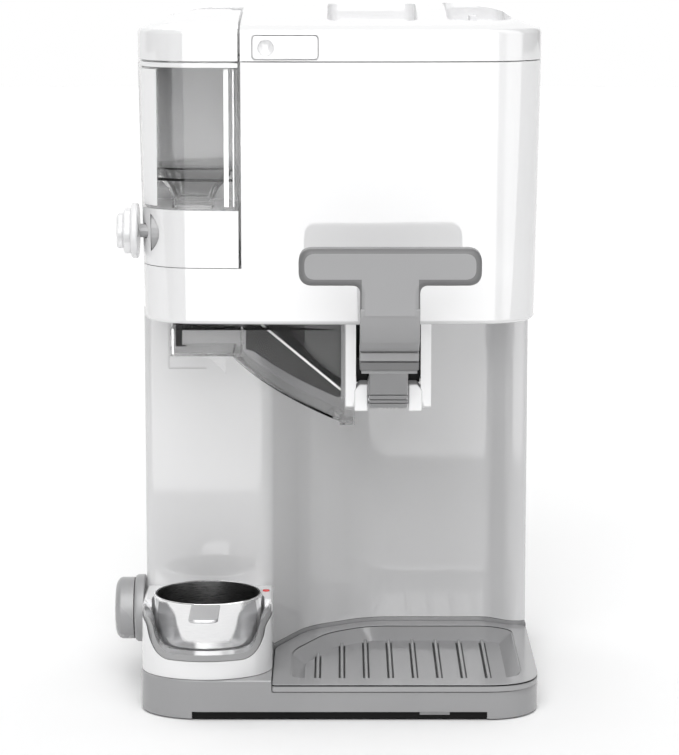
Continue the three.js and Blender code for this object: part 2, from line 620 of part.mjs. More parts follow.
function leverHandle() {
  const bar = frontways(rounded(rectangle(LEVER_X - BAR_HALF, LEVER_X + BAR_HALF, 259.9, 283.6), 9),
    -145, -131);
  const arm = sideways(rounded([[-144, 270], [-142, 240], [-128, 221], [-121, 207], [-88, 207],
    [-85, 217], [-112, 226], [-126, 242], [-132, 270]], [0, 12, 6, 3, 3, 3, 8, 8, 0]),
    LEVER_X - STEM_HALF, LEVER_X + STEM_HALF);
  const tongue = sideways(rounded([[-112, 212], [-104, 203], [-79, 181], [-74, 178.6], [-66, 178.6],
    [-26, 184], [-26, 194.4], [-62, 195.8], [-84, 214]], [0, 3, 2, 2, 2, 2, 2, 4, 0]),
    LEVER_X - TONGUE_HALF, LEVER_X + TONGUE_HALF);
  return cut(
    join(bar, arm, tongue),
    axle(PIN_R + 0.4, PIN_Y, PIN_Z, 0, 60, 12),
    block(LEVER_X - 5.6, LEVER_X + 5.6, PIN_Y - 9, PIN_Y + 9, 170, 200));
}

const spoutNozzle = () => cut(
  ring(NOZZLE_BORE, NOZZLE_R, AXIS_X, AXIS_Y, 186, 256, 20),
  block(AXIS_X - 3.2, AXIS_X + 3.2, AXIS_Y - 20, AXIS_Y, 194, 230));
const valvePlunger = () => join(
  post(NOZZLE_BORE - 0.5, AXIS_X, AXIS_Y, 192, 247, 20),
  block(AXIS_X - 2.5, AXIS_X + 2.5, -36, AXIS_Y, 196, 203));
const plungerSeal = () => post(NOZZLE_BORE - 0.5, AXIS_X, AXIS_Y, 247.3, 250, 20);

function starTip() {
  const star = [];
  for (let i = 0; i < 16; i += 1) {
    const r = i % 2 ? 5.6 : 8.6;
    const at = (i * Math.PI) / 8;
    star.push(new THREE.Vector2(AXIS_X + r * Math.cos(at), AXIS_Y + r * Math.sin(at)));
  }
  return cut(post(NOZZLE_R, AXIS_X, AXIS_Y, 172, 185.6, 20), prism(new THREE.Shape(star), 165, 190));
}

// Pod, cup, heater and indicator
function podShape(distance) {
  const half = POD_HALF - distance;
  const front = PLINTH_FRONT + 1 + distance;
  const shape = new THREE.Shape();
  shape.moveTo(POD_X - half, -8.5 - distance);
  shape.lineTo(POD_X - half, front + half * 0.8);
  shape.absellipse(POD_X, front + half * 0.8, half, half * 0.8, Math.PI, 2 * Math.PI);
  shape.lineTo(POD_X + half, -8.5 - distance);
  return shape;
}

function cupPod() {
  const mouth = frontways(rounded([[POD_X - 29, 37], [POD_X + 29, 37], [POD_X + 33, 48], [POD_X + 34, 70],
    [POD_X - 34, 70], [POD_X - 33, 48]], [7, 7, 6, 0, 0, 6]), -100, CUP_Y);
  return cut(
    prism(podShape(0), PLINTH_TOP + 0.3, POD_TOP, 6),
    post(CUP_R + 1.4, POD_X, CUP_Y, 37, 80, 28),
    mouth,
    post(29.4, POD_X, CUP_Y, 34, 40, 24),
    post(26, POD_X, CUP_Y, 20, 34.2, 20),
    post(2.4, -44.2, -24, 50, 70, 12));
}

const warmingPlate = () => post(29, POD_X, CUP_Y, 34.4, 37.3, 24);
const cupHeater = () => ring(16, 25, POD_X, CUP_Y, 29, 34, 20);
const indicatorLens = () => post(2, -44.2, -24, 52, POD_TOP + 0.6, 12);

function meltingCup() {
  const cup = turned([[0, CUP_BOTTOM], [30.2, CUP_BOTTOM], [31.4, 40], [CUP_R, CUP_TOP],
    [CUP_R - 1.1, CUP_TOP], [30.2, 40.2], [29.4, 38.9], [0, 38.9]], POD_X, CUP_Y);
  const tab = rounded([[POD_X - 8.5, CUP_Y - CUP_R + 1], [POD_X - 8.5, -116], [POD_X + 8.5, -116],
    [POD_X + 8.5, CUP_Y - CUP_R + 1]], [0, 6, 6, 0]);
  const handle = cut(prism(tab, 64.4, 66.4), post(CUP_R - 0.6, POD_X, CUP_Y, 60, 70, 28));
  return join(cup, handle);
}

// Dial and what stands behind it
const dialKnob = () => join(
  axle(18.8, 0, DIAL_Z, -133, -124.9, 28),
  solidOf(new THREE.CylinderGeometry(18.8, 15.2, DIAL_TIP - 133, 28).applyMatrix4(X_AXIS)
    .translate(-(DIAL_TIP + 133) / 2, 0, DIAL_Z)));
const dialSkirt = () => join(
  axle(20.5, 0, DIAL_Z, -124.5, -118.3, 28),
  axle(3, 0, DIAL_Z, -119, -112.8, 12));
const dialSwitch = () => block(-112.2, -98, -4.8, 9, 36, 57);
const controlBoard = () => block(-106, -48, 20, 22, 60, 108);

// Tray
function dripTray() {
  const rim = prism(trayShape(0), 17.4, TRAY_TOP);
  const under = prism(basinShape(-2), 12, 17.6);
  const level = (z, distance) => ({ z, ring: pointsOf(basinShape(distance)) });
  const hollow = loft([level(TRAY_FLOOR, TRAY_TOP - TRAY_FLOOR), level(TRAY_TOP + 1, -1)]);
  const ribs = [];
  for (let i = 0; i < 8; i += 1) {
    const x = -13.1 + i * RIB_PITCH;
    const back = [8, 34, 40][Math.min(i, 2)];
    ribs.push(block(x - 1.1, x + 1.1, -66, back, TRAY_FLOOR - 0.5, 17.5));
  }
  return join(cut(join(rim, under), hollow), ...ribs);
}

// Materials
function finish(color, roughness, metalness = 0, opacity = 1) {
  return { color, roughness, metalness, opacity, transparent: opacity < 1 };
}

const WHITE = finish(0xf2f2f3, 0.2);
const GREY = finish(0xa3a3a5, 0.45);
const PALE_GREY = finish(0xc4c4c6, 0.4);
const CLEAR = finish(0xc9ccd0, 0.08, 0, 0.35);
const SMOKE = finish(0x55585c, 0.1, 0, 0.5);
const STEEL = finish(0xc8c8ca, 0.25, 1);
const DARK = finish(0x2c2c2e, 0.6);
const RUBBER = finish(0x3a3a3c, 0.85);
const RED = finish(0xe0302a, 0.25);
const BOARD = finish(0x1f6b3c, 0.5);

const assembly = new THREE.Group();
const machine = new THREE.Group();
machine.position.x = BODY_X;
assembly.add(machine);

function place(name, solid, settings) {
  const mesh = new THREE.Mesh(geometryOf(solid), new THREE.MeshStandardMaterial(settings));
  mesh.name = name;
  machine.add(mesh);
}

place('plinth', plinth(), GREY);
place('bottom_cover', bottomCover(), GREY);
FEET.forEach((spot, i) => place(`foot_${i + 1}`, foot(spot), RUBBER));
place('column_shell', columnShell(), WHITE);
place('rear_cover', rearCover(), WHITE);
SCREWS.forEach((spot, i) => place(`rear_screw_${i + 1}`, rearScrew(spot), STEEL));
place('cord_gland', cordGland(), RUBBER);
place('upper_housing', upperHousing(), WHITE);
place('top_deck', topDeck(), WHITE);
place('bowl_well', bowlWell(), WHITE);
place('bowl_bearing', bowlBearing(), PALE_GREY);
place('bowl_outer', bowlOuter(), STEEL);
place('bowl_liner', bowlLiner(), STEEL);
place('bowl_gear', bowlGear(), PALE_GREY);
place('idler_gear', idlerGear(), PALE_GREY);
place('idler_pin', idlerPin(), STEEL);
place('motor_pinion', motorPinion(), STEEL);
place('gear_motor', gearMotor(), DARK);
place('motor_bracket', motorBracket(), STEEL);
place('lid_shell', lidShell(), WHITE);
place('lid_liner', lidLiner(), WHITE);
place('lid_seal', lidSeal(), RUBBER);
place('lid_button', lidButton(), WHITE);
place('pour_cap', pourCap(), WHITE);
place('mixing_paddle', mixingPaddle(), WHITE);
place('hopper_container', hopperContainer(), CLEAR);
place('hopper_funnel', hopperFunnel(), CLEAR);
place('hopper_base', hopperBase(), WHITE);
place('hopper_cap', hopperCap(), WHITE);
place('cap_hinge_pin', capHingePin(), STEEL);
place('dosing_drum', dosingDrum(), PALE_GREY);
place('hopper_knob', hopperKnob(), PALE_GREY);
place('mix_in_chute', mixInChute(), SMOKE);
place('spout_bracket', spoutBracket(), WHITE);
place('spout_nozzle', spoutNozzle(), WHITE);
place('star_tip', starTip(), WHITE);
place('lever_handle', leverHandle(), GREY);
place('lever_pin', leverPin(), STEEL);
place('return_spring', returnSpring(), STEEL);
place('valve_plunger', valvePlunger(), WHITE);
place('plunger_seal', plungerSeal(), RUBBER);
place('cup_pod', cupPod(), WHITE);
place('warming_plate', warmingPlate(), DARK);
place('cup_heater', cupHeater(), DARK);
place('indicator_lens', indicatorLens(), RED);
place('melting_cup', meltingCup(), STEEL);
place('dial_knob', dialKnob(), PALE_GREY);
place('dial_skirt', dialSkirt(), PALE_GREY);
place('dial_switch', dialSwitch(), DARK);
place('control_board', controlBoard(), BOARD);
place('drip_tray', dripTray(), GREY);

export default assembly;
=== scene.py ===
"""Ice cream maker: the visible shells, knobs and clear parts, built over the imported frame.

Lengths in this script are millimetres, with X counted from the middle of the body; settle() turns
them into metres in the row frame. Piece names say which part of the machine they are.
"""

import json
from math import copysign, cos, dist, pi, radians, sin, tau

import bmesh
import bpy
from mathutils import Matrix, Vector

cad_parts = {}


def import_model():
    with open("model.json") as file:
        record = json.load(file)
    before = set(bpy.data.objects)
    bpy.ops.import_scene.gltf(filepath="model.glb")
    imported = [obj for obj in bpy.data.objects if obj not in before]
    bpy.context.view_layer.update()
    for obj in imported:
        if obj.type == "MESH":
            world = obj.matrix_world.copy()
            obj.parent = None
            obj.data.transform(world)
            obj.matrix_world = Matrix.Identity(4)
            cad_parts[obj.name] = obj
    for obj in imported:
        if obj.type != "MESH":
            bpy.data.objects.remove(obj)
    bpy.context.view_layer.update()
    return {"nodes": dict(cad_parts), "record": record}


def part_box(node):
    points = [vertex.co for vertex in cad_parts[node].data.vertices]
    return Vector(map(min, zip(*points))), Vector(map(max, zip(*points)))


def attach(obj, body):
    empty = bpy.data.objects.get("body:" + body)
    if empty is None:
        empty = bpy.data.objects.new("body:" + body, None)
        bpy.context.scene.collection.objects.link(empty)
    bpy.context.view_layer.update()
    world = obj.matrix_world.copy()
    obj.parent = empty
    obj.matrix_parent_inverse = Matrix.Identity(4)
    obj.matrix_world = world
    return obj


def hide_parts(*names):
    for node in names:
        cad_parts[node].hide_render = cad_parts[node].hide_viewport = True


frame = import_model()

MM = 0.001
MIDDLE = sum(corner[0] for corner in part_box("upper_housing")) / 2 / MM  # X of the body's middle


def span(node, axis):
    """Lowest and highest coordinate of a CAD node along an axis, in this script's units."""
    low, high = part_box(node)
    shift = MIDDLE if axis == 0 else 0
    return low[axis] / MM - shift, high[axis] / MM - shift


def centre(node, axis):
    """Middle of a CAD node along an axis, in this script's units."""
    return sum(span(node, axis)) / 2


# Driving dimensions, read from the frame
BASE_HALF = span("plinth", 0)[1]
PLINTH_FRONT = span("plinth", 1)[0]
PLINTH_BOTTOM, PLINTH_TOP = span("plinth", 2)
BODY_REAR = span("column_shell", 1)[1]
COLUMN_FRONT = span("column_shell", 1)[0]
HOUSING_HALF = span("upper_housing", 0)[1]
HOUSING_BOTTOM, HOUSING_TOP = span("upper_housing", 2)
FRONT = span("upper_housing", 1)[0]
LID_BOTTOM, LID_TOP = span("lid_shell", 2)
HOPPER_RIGHT = span("hopper_base", 0)[1]
HOPPER_BACK = span("hopper_base", 1)[1]
HOPPER_BOTTOM, HOPPER_SHELF = span("hopper_base", 2)
WINDOW_BOTTOM = span("hopper_container", 2)[0]
AXIS_X = centre("bowl_outer", 0)
AXIS_Y = centre("bowl_outer", 1)
PIN_Y = centre("lever_pin", 1)
PIN_Z = centre("lever_pin", 2)
POD_X = centre("cup_pod", 0)
POD_BOTTOM, POD_TOP = span("cup_pod", 2)
TRAY_BOTTOM, TRAY_TOP = span("drip_tray", 2)
DIAL_Z = centre("dial_skirt", 2)
DRUM_Y = centre("hopper_knob", 1)
DRUM_Z = centre("hopper_knob", 2)
HINGE_Y = centre("cap_hinge_pin", 1)
HINGE_Z = centre("cap_hinge_pin", 2)

# Shape of the shells
WALL = 2.5
BOW = 3  # how far the housing's front bows forward
TAPER = 3  # how much narrower the housing is at its bottom, on each side
CORNER = 35  # front corners of the housing in plan
LID_EDGE = 401.8  # top of the lid's front face
LID_ROUND = 3.4  # height of the rounding above that face
LID_LEAN = 2.6  # and how far it leans in
LID_FLAT = 76  # how far in from the edge the dome reaches its top
LID_GAP = 3.4  # room that the lid leaves behind the hopper
HOPPER_WALL = 2.2
CUP_Y = -45
SEAM = 0.2  # between two pieces that fit into each other
ARC_STEPS = 18
EDGE_STEPS = 8
LEFT_OUT, RIGHT_OUT, FRONT_OUT, REAR_OUT = -150, 150, -120, 150  # past the machine, for cutters


# ---------------- outlines
def arc(cx, cy, rx, ry, start, end, steps=ARC_STEPS):
    """Points on an ellipse's arc; angles in degrees."""
    angles = [radians(start + (end - start) * i / steps) for i in range(steps + 1)]
    return [(cx + rx * cos(a), cy + ry * sin(a)) for a in angles]


def tidy(points):
    """The points without the doubled ones where arcs meet."""
    return [p for i, p in enumerate(points) if dist(p, points[i - 1]) > 1e-3]


def curve(a, b, c, steps=ARC_STEPS):
    """A quadratic curve from a to c, drawn towards b."""
    points = []
    for i in range(steps + 1):
        t = i / steps
        points.append(tuple((1 - t) ** 2 * p + 2 * t * (1 - t) * q + t * t * r
                            for p, q, r in zip(a, b, c)))
    return points


def rounded(points, radii, steps=8):
    """A polygon whose corners are rounded, each by its own radius."""
    outline = []
    for i, corner in enumerate(points):
        before, after = points[i - 1], points[(i + 1) % len(points)]
        reach = radii[i] if isinstance(radii, (list, tuple)) else radii
        reach = min(reach, 0.49 * dist(before, corner), 0.49 * dist(after, corner))
        start = [c + (b - c) * reach / dist(before, corner) for b, c in zip(before, corner)]
        end = [c + (a - c) * reach / dist(after, corner) for a, c in zip(after, corner)]
        outline += curve(start, corner, end, steps) if reach > 0.01 else [tuple(corner)]
    return tidy(outline)


def inset(points, distance):
    """A counter-clockwise polygon, moved inwards."""
    moved = []
    for i, (x, y) in enumerate(points):
        before, after = points[i - 1], points[(i + 1) % len(points)]
        a = Vector((x - before[0], y - before[1])).normalized()
        b = Vector((after[0] - x, after[1] - y)).normalized()
        turn = a.x * b.y - a.y * b.x
        if abs(turn) < 1e-6:
            moved.append((x - a.y * distance, y + a.x * distance))
        else:
            shift = (b - a) * (distance / turn)
            moved.append((x + shift.x, y + shift.y))
    return moved


def rectangle(x0, x1, y0, y1):
    return [(x0, y0), (x1, y0), (x1, y1), (x0, y1)]


def housing_ring(distance):
    """Plan of the upper housing, moved inwards."""
    half = HOUSING_HALF - distance
    side = FRONT + BOW + distance
    rear = BODY_REAR - distance
    r = max(CORNER - distance, 5)
    back = max(10 - distance, 2)
    return tidy(
        arc(-half + r, side + r, r, r, 180, 270)
        + curve((-half + r, side), (0, side - 2 * BOW), (half - r, side), 24)
        + arc(half - r, side + r, r, r, 270, 360)
        + arc(half - back, rear - back, back, back, 0, 90)
        + arc(-half + back, rear - back, back, back, 90, 180))


def base_ring(distance):
    """Plan of the plinth, moved inwards."""
    half = BASE_HALF - distance
    front = PLINTH_FRONT + distance
    rear = BODY_REAR - distance
    wide, deep, r, back = 38.5 - distance, 31 - distance, 30 - distance, 20 - distance
    return tidy(
        arc(-half + wide, front + deep, wide, deep, 180, 270)
        + arc(half - r, front + r, r, r, 270, 360)
        + arc(half - back, rear - back, back, back, 0, 90)
        + arc(-half + back, rear - back, back, back, 90, 180))


COLUMN_POINTS = [
    (-BASE_HALF, COLUMN_FRONT), (-43, COLUMN_FRONT), (-20.6, 43), (16.8, 68.5), (93.5, 68.5),
    (106.5, 57.8), (BASE_HALF, 57.2), (BASE_HALF, BODY_REAR), (-BASE_HALF, BODY_REAR)]
COLUMN_RADII = [6, 8, 14, 14, 4, 5, 5, 12, 12]
TRAY_POINTS = [
    (-39.4, PLINTH_FRONT - 1), (BASE_HALF, PLINTH_FRONT - 1), (BASE_HALF, 56.6), (105.1, 58.6),
    (91.6, 67.8), (17, 67.8), (-20, 42.6), (-39.4, -2)]
TRAY_RADII = [2, 32, 5, 5, 8, 14, 14, 6]
BASIN_POINTS = [
    (-28.6, -75), (107.7, -75), (107.7, 44), (94, 54), (18, 54), (-7.8, 36), (-28.6, -9)]
BASIN_RADII = [10, 18, 8, 8, 12, 12, 12]


def column_ring(distance):
    return rounded(inset(COLUMN_POINTS, distance), [max(r - distance, 1) for r in COLUMN_RADII])


def tray_ring(distance):
    return rounded(inset(TRAY_POINTS, distance), [max(r - distance, 1) for r in TRAY_RADII], 10)


def basin_ring(distance):
    return rounded(inset(BASIN_POINTS, distance), [max(r - distance, 3) for r in BASIN_RADII])


# ---------------- solids
def added(name, data):
    made = bpy.data.objects.new(name, data)
    bpy.context.scene.collection.objects.link(made)
    return made


def meshed(bm, name):
    mesh = bpy.data.meshes.new(name)
    bm.to_mesh(mesh)
    bm.free()
    return added(name, mesh)


def shape(bm):
    """A scratch object from a bmesh, in millimetres, with its faces turned outwards."""
    bmesh.ops.recalc_face_normals(bm, faces=bm.faces)
    return meshed(bm, "shape")


def loft(levels):
    """Rings of equal count, one above the other, closed by flat ends: [(z, points), ...]."""
    bm = bmesh.new()
    rows = [[bm.verts.new((x, y, z)) for x, y in points] for z, points in levels]
    count = len(rows[0])
    for lower, upper in zip(rows, rows[1:]):
        for i in range(count):
            j = (i + 1) % count
            bm.faces.new((lower[i], lower[j], upper[j], upper[i]))
    bm.faces.new(rows[0][::-1])
    bm.faces.new(rows[-1])
    return shape(bm)


def prism(points, z0, z1):
    return loft([(z0, points), (z1, points)])


def turned_to(made, matrix):
    made.data.transform(matrix)
    if matrix.determinant() < 0:
        made.data.flip_normals()
    return made


def sideways(points, x0, x1):
    """An outline drawn in Y and Z that runs along X."""
    turn = Matrix(((0, 0, 1, 0), (1, 0, 0, 0), (0, 1, 0, 0), (0, 0, 0, 1)))
    return turned_to(prism(points, x0, x1), turn)


def frontways(points, y0, y1):
    """An outline drawn in X and Z that runs along Y."""
    return turned_to(prism(points, -y1, -y0), Matrix.Rotation(pi / 2, 4, "X"))


def frontways_loft(levels):
    """Outlines drawn in X and Z, stacked from front to back: [(y, points), ...]."""
    made = loft([(-y, points) for y, points in reversed(levels)])
    return turned_to(made, Matrix.Rotation(pi / 2, 4, "X"))


def block(x0, x1, y0, y1, z0, z1):
    return prism(rectangle(x0, x1, y0, y1), z0, z1)


def circle(cx, cy, r, sides):
    return [(cx + r * cos(2 * pi * i / sides), cy + r * sin(2 * pi * i / sides))
            for i in range(sides)]


def post(r, x, y, z0, z1, sides=64):
    return prism(circle(x, y, r, sides), z0, z1)


def axle(r, y, z, x0, x1, sides=64):
    return sideways(circle(y, z, r, sides), x0, x1)


def turned(profile, x, y, steps):
    """A profile of (radius, z) points turned about a vertical axis; off the axis it is a ring."""
    bm = bmesh.new()
    columns = []
    for i in range(steps):
        a = 2 * pi * i / steps
        columns.append([(x + r * cos(a), y + r * sin(a), z) for r, z in profile])
    on_axis = {k: bm.verts.new((x, y, z)) for k, (r, z) in enumerate(profile) if r < 1e-6}
    grid = [[on_axis[k] if k in on_axis else bm.verts.new(co) for k, co in enumerate(column)]
            for column in columns]
    closed = not on_axis
    count = len(profile)
    for i in range(steps):
        here, there = grid[i], grid[(i + 1) % steps]
        for k in range(count if closed else count - 1):
            m = (k + 1) % count
            corners = []
            for vert in (here[k], there[k], there[m], here[m]):
                if vert not in corners:
                    corners.append(vert)
            if len(corners) > 2:
                bm.faces.new(corners)
    return shape(bm)


def turned_x(profile, y, z):
    """A profile of (radius, x) points turned about a sideways axis."""
    made = turned(profile, 0, 0, 96)
    turn = Matrix(((0, 0, 1, 0), (0, 1, 0, y), (-1, 0, 0, z), (0, 0, 0, 1)))
    return turned_to(made, turn)


def apply(made, kind, **settings):
    """Adds one modifier and applies it to the mesh."""
    modifier = made.modifiers.new("step", kind)
    for name, value in settings.items():
        setattr(modifier, name, value)
    graph = bpy.context.evaluated_depsgraph_get()
    old = made.data
    made.data = bpy.data.meshes.new_from_object(made.evaluated_get(graph))
    made.modifiers.clear()
    bpy.data.meshes.remove(old)
    return made


def duplicate(made):
    return added("shape", made.data.copy())


def discard(made):
    mesh = made.data
    bpy.data.objects.remove(made)
    bpy.data.meshes.remove(mesh)


def combine(made, tools, operation):
    for tool in tools:
        apply(made, "BOOLEAN", object=tool, operation=operation, solver="EXACT")
        discard(tool)
    return made


def cut(made, *tools):
    return combine(made, tools, "DIFFERENCE")


def join(made, *tools):
    return combine(made, tools, "UNION")


def overlap(made, *tools):
    return combine(made, tools, "INTERSECT")


def soften(made, width, segments, angle):
    """Rounds the edges that turn by more than an angle."""
    apply(made, "BEVEL", width=width, segments=segments, limit_method="ANGLE",
          angle_limit=radians(angle), use_clamp_overlap=True, miter_outer="MITER_ARC")
    return made


def settle(made, name, material, body, replaces, sharp=40):
    """Turns a scratch shape into a finished piece that rides on a body, in place of CAD nodes."""
    bm = bmesh.new()
    bm.from_mesh(made.data)
    bmesh.ops.remove_doubles(bm, verts=bm.verts, dist=0.002)
    bmesh.ops.dissolve_degenerate(bm, edges=bm.edges, dist=0.0005)
    bm.to_mesh(made.data)
    bm.free()
    made.data.transform(Matrix.Scale(MM, 4) @ Matrix.Translation((MIDDLE, 0, 0)))
    made.name = name
    made.data.name = name
    made.data.shade_smooth()
    made.data.set_sharp_from_angle(angle=radians(sharp))
    weighted = made.modifiers.new("even_normals", "WEIGHTED_NORMAL")
    weighted.keep_sharp = True
    made.data.materials.clear()
    made.data.materials.append(material)
    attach(made, body)
    if replaces:
        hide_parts(*replaces)
    return made


def inlay(made, name, material, body, width=0.3, angle=40, sharp=40):
    """A small piece with softened edges that takes no CAD node's place."""
    return settle(soften(made, width, 2, angle), name, material, body, [], sharp)


# ---------------- materials
def graph_of(name):
    material = bpy.data.materials.new(name)
    material.use_nodes = True
    nodes = material.node_tree.nodes
    return material, nodes, material.node_tree.links, nodes["Principled BSDF"]


def fill(node, values):
    for name, value in values.items():
        node.inputs[name].default_value = value


def grey(level, cool=0.005):
    """A neutral colour with a little more blue in it."""
    return level, level, level + cool


def mottled(nodes, links, scale, low, high, stretch=(1, 1, 1), detail=4):
    """A noise that runs between two numbers."""
    where = nodes.new("ShaderNodeTexCoord")
    place = nodes.new("ShaderNodeMapping")
    noise = nodes.new("ShaderNodeTexNoise")
    ramp = nodes.new("ShaderNodeMapRange")
    fill(place, {"Scale": stretch})
    fill(noise, {"Scale": scale, "Detail": detail})
    fill(ramp, {"From Min": 0.3, "From Max": 0.7, "To Min": low, "To Max": high})
    links.new(where.outputs["Object"], place.inputs["Vector"])
    links.new(place.outputs["Vector"], noise.inputs["Vector"])
    links.new(noise.outputs["Fac"], ramp.inputs["Value"])
    return ramp.outputs["Result"]


def tinted(nodes, links, amount, dark, light):
    """A colour between two others, by amount."""
    mix = nodes.new("ShaderNodeMix")
    mix.data_type = "RGBA"
    fill(mix, {"A": (*dark, 1), "B": (*light, 1)})
    links.new(amount, mix.inputs["Factor"])
    return mix.outputs["Result"]


def bumped(nodes, links, shader, height, strength, distance):
    bump = nodes.new("ShaderNodeBump")
    fill(bump, {"Strength": strength, "Distance": distance})
    links.new(height, bump.inputs["Height"])
    links.new(bump.outputs["Normal"], shader.inputs["Normal"])


def moulded(name, dark, light, smooth, rough, grain, depth, shine=0.5):
    """Injection-moulded plastic: a faint flow mottle, uneven gloss and a fine skin."""
    material, nodes, links, shader = graph_of(name)
    flow = mottled(nodes, links, 9, 0, 1, detail=2)
    links.new(tinted(nodes, links, flow, dark, light), shader.inputs["Base Color"])
    links.new(mottled(nodes, links, 28, smooth, rough), shader.inputs["Roughness"])
    bumped(nodes, links, shader, mottled(nodes, links, grain, 0, 1, detail=3), depth, 0.0002)
    fill(shader, {"Specular IOR Level": shine})
    return material


def clear(name, tint, roughness, shine, ior):
    """Clear moulded plastic: lamps shine through it, dimmed by its tint."""
    material, nodes, links, shader = graph_of(name)
    lit = nodes.new("ShaderNodeBsdfTransparent")
    fill(lit, {"Color": (*tint, 1)})
    path = nodes.new("ShaderNodeLightPath")
    mix = nodes.new("ShaderNodeMixShader")
    links.new(path.outputs["Is Shadow Ray"], mix.inputs["Fac"])
    links.new(shader.outputs["BSDF"], mix.inputs[1])
    links.new(lit.outputs["BSDF"], mix.inputs[2])
    links.new(mix.outputs["Shader"], nodes["Material Output"].inputs["Surface"])
    fill(shader, {"Base Color": (*tint, 1), "Transmission Weight": 1.0, "IOR": ior,
                  "Specular IOR Level": shine})
    links.new(mottled(nodes, links, 30, roughness, roughness + 0.05), shader.inputs["Roughness"])
    bumped(nodes, links, shader, mottled(nodes, links, 60, 0, 1, detail=2), 0.03, 0.0005)
    return material


def spun_metal(name, dark, light, smooth, rough, stretch):
    """Metal with fine tool marks that run one way."""
    scale = 220
    material, nodes, links, shader = graph_of(name)
    marks = mottled(nodes, links, scale, 0, 1, stretch=stretch, detail=6)
    links.new(tinted(nodes, links, marks, dark, light), shader.inputs["Base Color"])
    links.new(mottled(nodes, links, scale, smooth, rough, stretch=stretch), shader.inputs["Roughness"])
    bumped(nodes, links, shader, marks, 0.06, 0.0002)
    fill(shader, {"Metallic": 1.0})
    return material


WHITE = moulded("white_gloss_plastic", grey(0.80), grey(0.83), 0.02, 0.04,
                grain=700, depth=0.005, shine=1.0)
# The column's white plastic, darker than the housing's: painted shade for the shade under the
# housing's overhang
COLUMN_WHITE_PAINTED_SHADE = moulded("column_white_painted_shade", grey(0.66), grey(0.70), 0.03, 0.06,
                      grain=700, depth=0.008, shine=0.5)
GREY = moulded("grey_satin_plastic", grey(0.33), grey(0.36), 0.30, 0.38,
               grain=1400, depth=0.05, shine=0.25)
# The lever's grey, made darker: painted shade and dark reflection on the bar's rounded rim, painted
# shade on the sill under the housing
LEVER_GREY_PAINTED_SHADE = moulded("lever_grey_painted_shade", grey(0.17, 0.002), grey(0.19, 0.002), 0.30, 0.38,
                   grain=1400, depth=0.05, shine=0.2)
BASE_GREY = moulded("plinth_grey_plastic", grey(0.31), grey(0.34), 0.10, 0.16,
                    grain=1400, depth=0.03, shine=0.5)
PALE = moulded("pale_grey_plastic", grey(0.32), grey(0.36), 0.25, 0.35, grain=1400, depth=0.05)
LIP = moulded("pod_lip_grey", grey(0.33), grey(0.38), 0.1, 0.2, grain=1400, depth=0.03, shine=0.4)
KNOB = moulded("knob_grey_plastic", grey(0.76, 0.01), grey(0.81), 0.15, 0.25, grain=1400, depth=0.04)
INNER = moulded("inner_white_plastic", grey(0.78, 0.01), grey(0.83), 0.35, 0.5,
                grain=1100, depth=0.06)
RUBBER = moulded("foot_rubber", grey(0.045, 0.003), grey(0.065, 0.003), 0.7, 0.85,
                 grain=1700, depth=0.2)
SEAL = moulded("seal_rubber", grey(0.30, 0.01), grey(0.36, 0.01), 0.55, 0.7, grain=1500, depth=0.15)
DARK = moulded("dark_coated_metal", grey(0.03, 0.002), grey(0.05, 0.002), 0.35, 0.5,
               grain=1300, depth=0.1)
BOARD = moulded("circuit_board", (0.015, 0.12, 0.05), (0.02, 0.17, 0.07), 0.35, 0.5,
                grain=300, depth=0.1)
RED = moulded("red_lens", (0.72, 0.03, 0.03), (0.85, 0.06, 0.05), 0.08, 0.14, grain=600, depth=0.02)
CLEAR = clear("clear_plastic", grey(0.93, 0), 0.01, shine=0.3, ior=1.3)
WINDOW = clear("window_plastic", grey(0.79, 0), 0.01, shine=0.3, ior=1.3)
SMOKE = clear("smoked_plastic", grey(0.78, 0), 0.02, shine=0.12, ior=1.12)
# Near-black for painted shade: gaps, grooves and hollows that lie in shadow
SHADE = moulded("black_painted_shade", grey(0.004, 0), grey(0.008, 0), 0.3, 0.4,
                grain=700, depth=0.02, shine=0.1)
# Two dark greys for painted shade inside the chute
DEEP_PAINTED_SHADE = moulded("deep_painted_shade", grey(0.035, 0), grey(0.06, 0), 0.2, 0.3,
               grain=260, depth=0.02, shine=0.2)
MID_PAINTED_SHADE = moulded("mid_painted_shade", grey(0.12, 0), grey(0.16, 0), 0.2, 0.3,
               grain=260, depth=0.02, shine=0.2)
# Opaque white on clear edges and corners: painted highlight
WHITE_PAINTED_HIGHLIGHT = moulded("white_painted_highlight", grey(0.82), grey(0.86), 0.04, 0.08, grain=700, depth=0.02, shine=1.0)
STAINLESS = spun_metal("stainless_steel", grey(0.80), grey(0.88), 0.05, 0.12, stretch=(1, 1, 26))
# The cup's steel made nearly black: painted shade inside the cup
CUP_STEEL_PAINTED_SHADE = spun_metal("cup_lining_painted_shade", grey(0.10, 0), grey(0.16, 0), 0.25, 0.35,
                       stretch=(1, 1, 30))
BRUSHED = spun_metal("brushed_steel", grey(0.50), grey(0.58), 0.35, 0.45, stretch=(26, 1, 1))
ALUMINIUM = spun_metal("bowl_aluminium", (0.60, 0.61, 0.62), (0.72, 0.73, 0.74), 0.28, 0.4,
                       stretch=(1, 1, 18))
STEEL = spun_metal("plain_steel", grey(0.45, 0.01), grey(0.58, 0.01), 0.28, 0.42, stretch=(18, 1, 1))

# Materials of the CAD nodes that stay, by slot
BY_SLOT = {
    "white_gloss": INNER, "grey_satin": BASE_GREY, "pale_grey": PALE, "clear_plastic": CLEAR,
    "smoked_plastic": SMOKE, "stainless": STAINLESS, "bowl_aluminium": ALUMINIUM, "steel": STEEL,
    "dark_metal": DARK, "rubber": RUBBER, "seal_rubber": SEAL, "red_lens": RED, "board": BOARD}
for part in frame["record"]["subparts"]:
    node = frame["nodes"][part["node"]]
    node.data.materials.clear()
    node.data.materials.append(BY_SLOT[part["material_slot"]])


